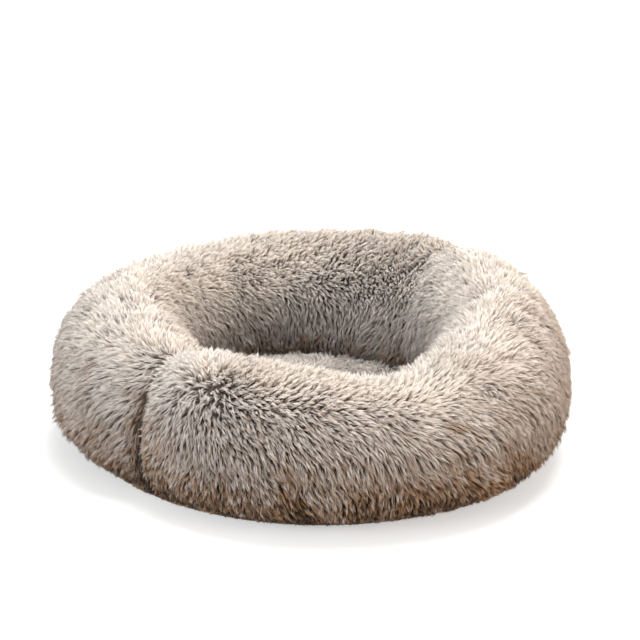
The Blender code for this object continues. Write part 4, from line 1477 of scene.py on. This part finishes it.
@dataclass
class WellCushion:
    """The well's backed fur panel over its lined, fibre-filled pad."""

    well: WellForm
    ring: RingForm
    backing: Material
    lining: Material
    fibre: Material
    panel_radius: float = 0.1490
    panel_thickness: float = 0.012
    backing_inset: float = 0.0090
    seat_gap: float = 0.0003
    lining_half_width: float = 0.0638
    lining_floor: float = 0.0030
    slack: float = 0.0024
    foot_height: float = 0.0068
    foot_radii: tuple[float, float] = (0.1583, 0.1680)
    corner_rise: float = 0.0045
    arch_height: float = 0.0104
    fill_inset: float = 0.0014
    fill_side_inset: float = 0.0036
    pucker: float = 0.0005
    puckers: Noise = Noise(1.0, 0.03, 41)
    least_radius: float = 0.02
    crown_steps: int = 26
    under_steps: int = 14
    pad_steps: int = 20
    side_steps: int = 12
    steps: int = 120

    def turned(
        self, name: str, node: str, slot: str, profile: Array, finish: Material, pucker: float
    ) -> Piece:
        """Turn a profile about the bed's axis into a closed padded piece.

        The profile runs from the axis at the top, out and down, back to the axis underneath.
        Its side is drawn in here and there by a shallow wave noise.

        Args:
            name: The piece's name.
            node: The CAD node that it replaces.
            slot: A slot name, passed on to mesh_piece.
            profile: Rows of radius and height.
            finish: The material.
            pucker: The noise's depth.

        Returns:
            The piece.
        """
        bearings = np.linspace(0.0, 2 * math.pi, self.steps, endpoint=False)[:, None]
        radius, height = profile[1:-1].T
        points = from_axis(radius, bearings, height)
        drawn = 1 - pucker * (1 + self.puckers.at(points)) / np.maximum(radius, self.least_radius)
        points[..., :2] *= drawn[..., None]
        rows, across = points.shape[:2]
        poles = columns(0.0, 0.0, profile[[0, -1], 1])
        first = np.arange(rows) * across
        triangles = [
            grid_triangles(rows, across, True, False)[:, ::-1],
            fan_triangles(rows * across, first),
            fan_triangles(rows * across + 1, (first + across - 1)[::-1]),
        ]
        points = np.concatenate([points.reshape(-1, 3), poles])
        piece = mesh_piece(name, points, np.concatenate(triangles), finish, slot)
        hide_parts(node)
        return piece

    def crown(self, inset: float, count: int) -> Array:
        """Return the crown's profile at a depth, from the axis out to the well's edge."""
        radii = np.linspace(0.0, self.well.radius, count)
        return columns(radii, self.well.height(radii) - inset)

    def panel_profile(self) -> Array:
        """Return the fur panel's profile: a crowned disc that reaches under the ring's cover.

        Returns:
            Rows of radius and height.
        """
        rim = self.well.rim - np.array([self.backing_inset, self.panel_thickness])
        top = self.crown(self.backing_inset, self.crown_steps)
        under = self.crown(self.panel_thickness, self.under_steps)[::-1]
        return np.concatenate([top, columns(self.panel_radius, rim), under])

    def pad_profile(self, inset: float, side_inset: float) -> Array:
        """Return the pad's profile at a depth under its lining.

        The top follows the fur panel, the side the ring's lining, and the foot is a ring that
        keeps the middle arched clear of the zip.

        Args:
            inset: Depth under the top and the foot.
            side_inset: Depth under the side.

        Returns:
            Rows of radius and height.
        """
        top = self.crown(self.panel_thickness + self.seat_gap + inset, self.pad_steps)
        foot, arch = self.foot_height + inset, self.arch_height + inset
        heights = np.linspace(top[-1, 1], foot + self.corner_rise, self.side_steps)
        bulge, power = self.ring.bulge_height, self.ring.underside_power
        drop = ((bulge - heights) / (bulge - self.lining_floor)) ** (power / 2)
        reach = self.lining_half_width * (1 - drop**2) ** (1 / power)
        middle = self.ring.outer_radius - self.ring.outer_half_width
        side = columns(middle - reach - self.slack - side_inset, heights)
        toe = self.foot_radii[0] + side_inset
        heel = min(self.foot_radii[1] - side_inset, side[-1, 0])
        under = np.array([[heel, foot], [toe, foot], [toe - (arch - foot), arch], [0.0, arch]])
        return np.concatenate([top, side, under])

    def build(self) -> list[Piece]:
        """Make the panel, the pad's lining and its filling.

        Returns:
            The pieces.
        """
        panel, lining = self.panel_profile(), self.pad_profile(0.0, 0.0)
        filling = self.pad_profile(self.fill_inset, self.fill_side_inset)
        pucker = self.pucker
        return [
            self.turned("well_backing", "well_cover", "well_fur", panel, self.backing, 0.0),
            self.turned("pad_lining", "centre_liner", "nonwoven_lining", lining, self.lining, pucker),
            self.turned("pad_fibre", "centre_fill", "polyester_fibre", filling, self.fibre, pucker),
        ]


@dataclass(frozen=True)
class StitchRow:
    """A row of even stitches that lie on a face seen from below.

    A stitch is a six-sided bead drawn out along its bearing: two poles and three rings whose
    radii follow a half circle, with its ends sunk into the cloth.
    """

    name: str
    places: Array
    bearings: Array
    length: float = 0.0027
    radius: float = 0.00032
    ring_shares: tuple[float, ...] = (-0.72, 0.0, 0.72)
    sides: int = 6
    sink_share: float = 0.8

    def build(self, thread: Material) -> Piece:
        """Make the row as one piece.

        Args:
            thread: The thread's finish.

        Returns:
            The piece.
        """
        rings, sides = len(self.ring_shares), self.sides
        shares = np.array(self.ring_shares)[:, None]
        around = np.arange(sides) * 2 * math.pi / sides
        radii = self.radius * np.sqrt(1 - shares**2)
        walls = columns(shares * self.length / 2, radii * np.cos(around), radii * np.sin(around))
        poles = columns(np.array([-self.length / 2, self.length / 2]), 0.0, 0.0)
        x, y, z = np.concatenate([walls.reshape(-1, 3), poles]).T
        z = z + self.sink_share * self.radius * (2 * x / self.length) ** 2
        cos, sin = np.cos(self.bearings)[:, None], np.sin(self.bearings)[:, None]
        points = columns(x * cos - y * sin, x * sin + y * cos, z) + self.places[:, None, :]
        ring = np.arange(sides)
        faces = [
            grid_triangles(rings, sides, False, True)[:, ::-1],
            fan_triangles(rings * sides, ring[::-1]),
            fan_triangles(rings * sides + 1, ring + (rings - 1) * sides),
        ]
        triangles = np.concatenate(faces) + (np.arange(len(points)) * len(x))[:, None, None]
        return mesh_piece(self.name, points, triangles.reshape(-1, 3), thread, "oxford_cloth")


@dataclass
class Base:
    """The zipped cloth base: finishes for its solids, and its stitching."""

    nodes: dict[str, Piece]
    cloth: Material
    tape: Material
    metal: Material
    thread: Material
    zip_half_length: float = 0.152
    row_offsets: tuple[float, ...] = (0.0082, 0.0122)
    raised_underside: float = 0.0050
    hem_radius: float = 0.2484
    hem_underside: float = 0.0012
    stitch_pitch: float = 0.0036

    def dress(self) -> None:
        """Give each CAD node of the base its finish, picked by the start of its name."""
        finishes = {"base_panel": self.cloth, "zip_tape": self.tape, "zip_": self.metal}
        for name, node in self.nodes.items():
            finish = next((finishes[start] for start in finishes if name.startswith(start)), None)
            if finish:
                node.data.materials.clear()
                node.data.materials.append(finish)

    def zip_rows(self) -> list[Piece]:
        """Sew the tapes to the panels with two straight rows on either side of the zip.

        Returns:
            The pieces.
        """
        count = int(2 * self.zip_half_length / self.stitch_pitch)
        x = (np.arange(count) - (count - 1) / 2) * self.stitch_pitch
        rows = []
        for side, word in ((-1, "front"), (1, "rear")):
            offsets = side * np.array(self.row_offsets)[:, None]
            places = columns(x, offsets, self.raised_underside).reshape(-1, 3)
            row = StitchRow(f"zip_stitches_{word}", places, np.zeros(len(places)))
            rows.append(row.build(self.thread))
        return rows

    def hem(self) -> Piece:
        """Sew the base to the ring's cover with one round row near the edge.

        Returns:
            The piece.
        """
        count = int(2 * math.pi * self.hem_radius / self.stitch_pitch)
        bearings = np.arange(count) * 2 * math.pi / count
        places = from_axis(self.hem_radius, bearings, self.hem_underside)
        return StitchRow("hem_stitches", places, bearings + math.pi / 2).build(self.thread)

    def build(self) -> list[Piece]:
        """Dress the base's and the zip's nodes and sew them.

        Returns:
            The stitch pieces.
        """
        self.dress()
        return [*self.zip_rows(), self.hem()]


@dataclass(frozen=True)
class Lamp:
    """A square soft lamp: where it hangs, its side, its power in watts and its linear tint."""

    name: str
    place: tuple[float, float, float]
    side: float
    watts: float
    tint: tuple[float, float, float]

    def hang(self, target: Vector) -> Piece:
        """Hang the lamp.

        Args:
            target: What it faces.

        Returns:
            The lamp.
        """
        data = bpy.data.lights.new(self.name, "AREA")
        data.shape = "SQUARE"
        data.size = self.side
        data.energy = self.watts
        data.color = self.tint
        lamp = linked(self.name, data)
        lamp.location = self.place
        lamp.rotation_euler = (target - lamp.location).to_track_quat("-Z", "Y").to_euler()
        return lamp


@dataclass
class Studio:
    """The pale floor, the soft lamps and the camera at the photograph's view."""

    target: tuple[float, float, float] = (0.0, 0.0, 0.08)
    distance: float = 2.0
    elevation: float = 20.41
    focal_pixels: float = 1722.0
    object_pixel: tuple[float, float] = (312.64, 370.13)
    roll: float = 1.69
    sensor: float = 0.036
    lamps: tuple[Lamp, ...] = (
        Lamp("key_soft", (0.20, 0.40, 2.2), 1.4, 61.0, (1.0, 1.0, 1.0)),
        Lamp("front_fill", (-2.0, -1.8, 0.8), 1.6, 60.0, (0.91, 0.96, 1.0)),
        Lamp("side_warm", (2.3, -1.1, 0.7), 1.0, 40.0, (1.0, 0.88, 0.77)),
    )
    floor_half_side: float = 6.0
    floor_dark: Colour = (134, 116, 98)
    floor_pale: Colour = (214, 213, 212)
    glow_radii: tuple[float, float] = (0.35, 1.1)
    glow_range: tuple[float, float] = (0.42, 1.0)
    world_tint: tuple[float, ...] = (1.0, 0.99, 0.98, 1.0)
    world_strength: float = 0.64

    def camera(self) -> Piece:
        """Place the camera so that the target falls on its pixel of the photograph.

        The camera stands the distance from the target, at the elevation, and is turned from
        it by the angles that the pixel's offset from the middle makes at the focal length.

        Returns:
            The camera.
        """
        data = bpy.data.cameras.new("photo_view")
        data.sensor_width = self.sensor * 1000.0
        data.lens = self.focal_pixels * data.sensor_width / PHOTO_SIDE
        data.clip_start = 0.05
        data.clip_end = 50.0
        data.dof.use_dof = False
        camera = linked("photo_view", data)
        rise = math.radians(self.elevation)
        target = Vector(self.target)
        place = target + self.distance * Vector((0.0, -math.cos(rise), math.sin(rise)))
        offsets = (pixel - PHOTO_SIDE / 2 for pixel in self.object_pixel)
        yaw, pitch = (math.atan(offset / self.focal_pixels) for offset in offsets)
        look = (target - place).to_track_quat("-Z", "Y").to_matrix()
        for angle, axis in ((pitch, "X"), (yaw, "Y"), (math.radians(self.roll), "Z")):
            look = look @ Matrix.Rotation(angle, 3, axis)
        camera.matrix_world = Matrix.Translation(place) @ look.to_4x4()
        bpy.context.scene.camera = camera
        return camera

    def floor(self) -> Piece:
        """Lay a wide plain floor that keeps the bed's shadow and shows near white to the camera.

        To the camera alone, a glow that grows away from the bed is added to the floor's diffuse
        light, and to all other rays the floor is darker, so that it throws little light back.

        Returns:
            The floor.
        """
        graph = Graph("studio_floor")
        seen = graph.add("ShaderNodeLightPath").outputs["Is Camera Ray"]
        glow = graph.spread(graph.off_axis(), *self.glow_radii, *self.glow_range)
        graph.shade(Base_Color=graph.ramp(seen, (0.0, self.floor_dark), (1.0, self.floor_pale)))
        graph.shade(Roughness=0.95, Specular_IOR_Level=0.1, Emission_Color=(1.0, 1.0, 1.0, 1.0))
        graph.shade(Emission_Strength=graph.math("MULTIPLY", seen, glow))
        mesh = bpy.data.meshes.new("studio_floor")
        half = self.floor_half_side
        corners = [(-half, -half, 0.0), (half, -half, 0.0), (half, half, 0.0), (-half, half, 0.0)]
        mesh.from_pydata(corners, [], [(0, 1, 2, 3)])
        mesh.materials.append(graph.material)
        floor = linked("studio_floor", mesh)
        return floor

    def world(self) -> None:
        """Set a soft grey world that shows white to the camera."""
        world = bpy.data.worlds.new("studio_world")
        world.use_nodes = True
        nodes, links = world.node_tree.nodes, world.node_tree.links
        background = nodes["Background"]
        background.inputs["Color"].default_value = self.world_tint
        background.inputs["Strength"].default_value = self.world_strength
        seen = nodes.new("ShaderNodeBackground")
        seen.inputs["Color"].default_value = (1.0, 1.0, 1.0, 1.0)
        seen.inputs["Strength"].default_value = 1.0
        path = nodes.new("ShaderNodeLightPath")
        mix = nodes.new("ShaderNodeMixShader")
        links.new(path.outputs["Is Camera Ray"], mix.inputs["Fac"])
        links.new(background.outputs["Background"], mix.inputs[1])
        links.new(seen.outputs["Background"], mix.inputs[2])
        links.new(mix.outputs["Shader"], nodes["World Output"].inputs["Surface"])
        bpy.context.scene.world = world

    def build(self) -> None:
        """Set the camera, the floor, the lamps and the world."""
        self.camera()
        self.floor()
        for lamp in self.lamps:
            lamp.hang(Vector(self.target))
        self.world()
        bpy.context.scene.view_settings.view_transform = "Standard"


def main() -> None:
    """Load the frame, build the bed's looks in order and set the studio."""
    logging.basicConfig(level=logging.INFO, format="%(message)s")
    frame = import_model()
    ring = RingForm()
    well = WellForm()
    pile = PileFinish().build()
    backing = FibreFinish("pile_backing", (54, 44, 38), (114, 98, 87), 420.0, 0.0015).build()
    lining = FibreFinish("nonwoven_cloth", (196, 194, 188), (226, 224, 219), 260.0, 0.0003).build()
    fibre = FibreFinish("matted_fibre", (206, 205, 202), (242, 241, 238), 90.0, 0.004).build()
    Bolster(ring, backing, lining, fibre).build()
    WellCushion(well, ring, backing, lining, fibre).build()
    guard = StrandShape(5, 0.00056, (0.0, 0.5), 0.0023, 0.80, (0.76, 1.10), (0.012, 0.020))
    under = StrandShape(3, 0.00090, (0.0,), 0.0030, 0.30, (0.48, 0.85), (0.008, 0.014))
    shapes = {Coat.UNDER: under, Coat.OVER: guard}
    RingPile(
        surface=ring,
        well=well,
        finish=pile,
        name="bolster",
        slot="frosted_fur",
        root_inset=0.0125,
        sectors=8,
        locks={Coat.UNDER: 24000, Coat.OVER: 32200},
        shapes=shapes,
    ).build()
    WellPile(
        surface=well,
        finish=pile,
        name="well",
        slot="well_fur",
        root_inset=0.0098,
        sectors=1,
        locks={Coat.UNDER: 2200, Coat.OVER: 3700},
        shapes=shapes,
    ).build()
    finishes = [kind().build() for kind in (BaseClothFinish, ZipTapeFinish, MetalFinish, ThreadFinish)]
    Base(frame["nodes"], *finishes).build()
    Studio().build()


if __name__ == "__main__":
    main()
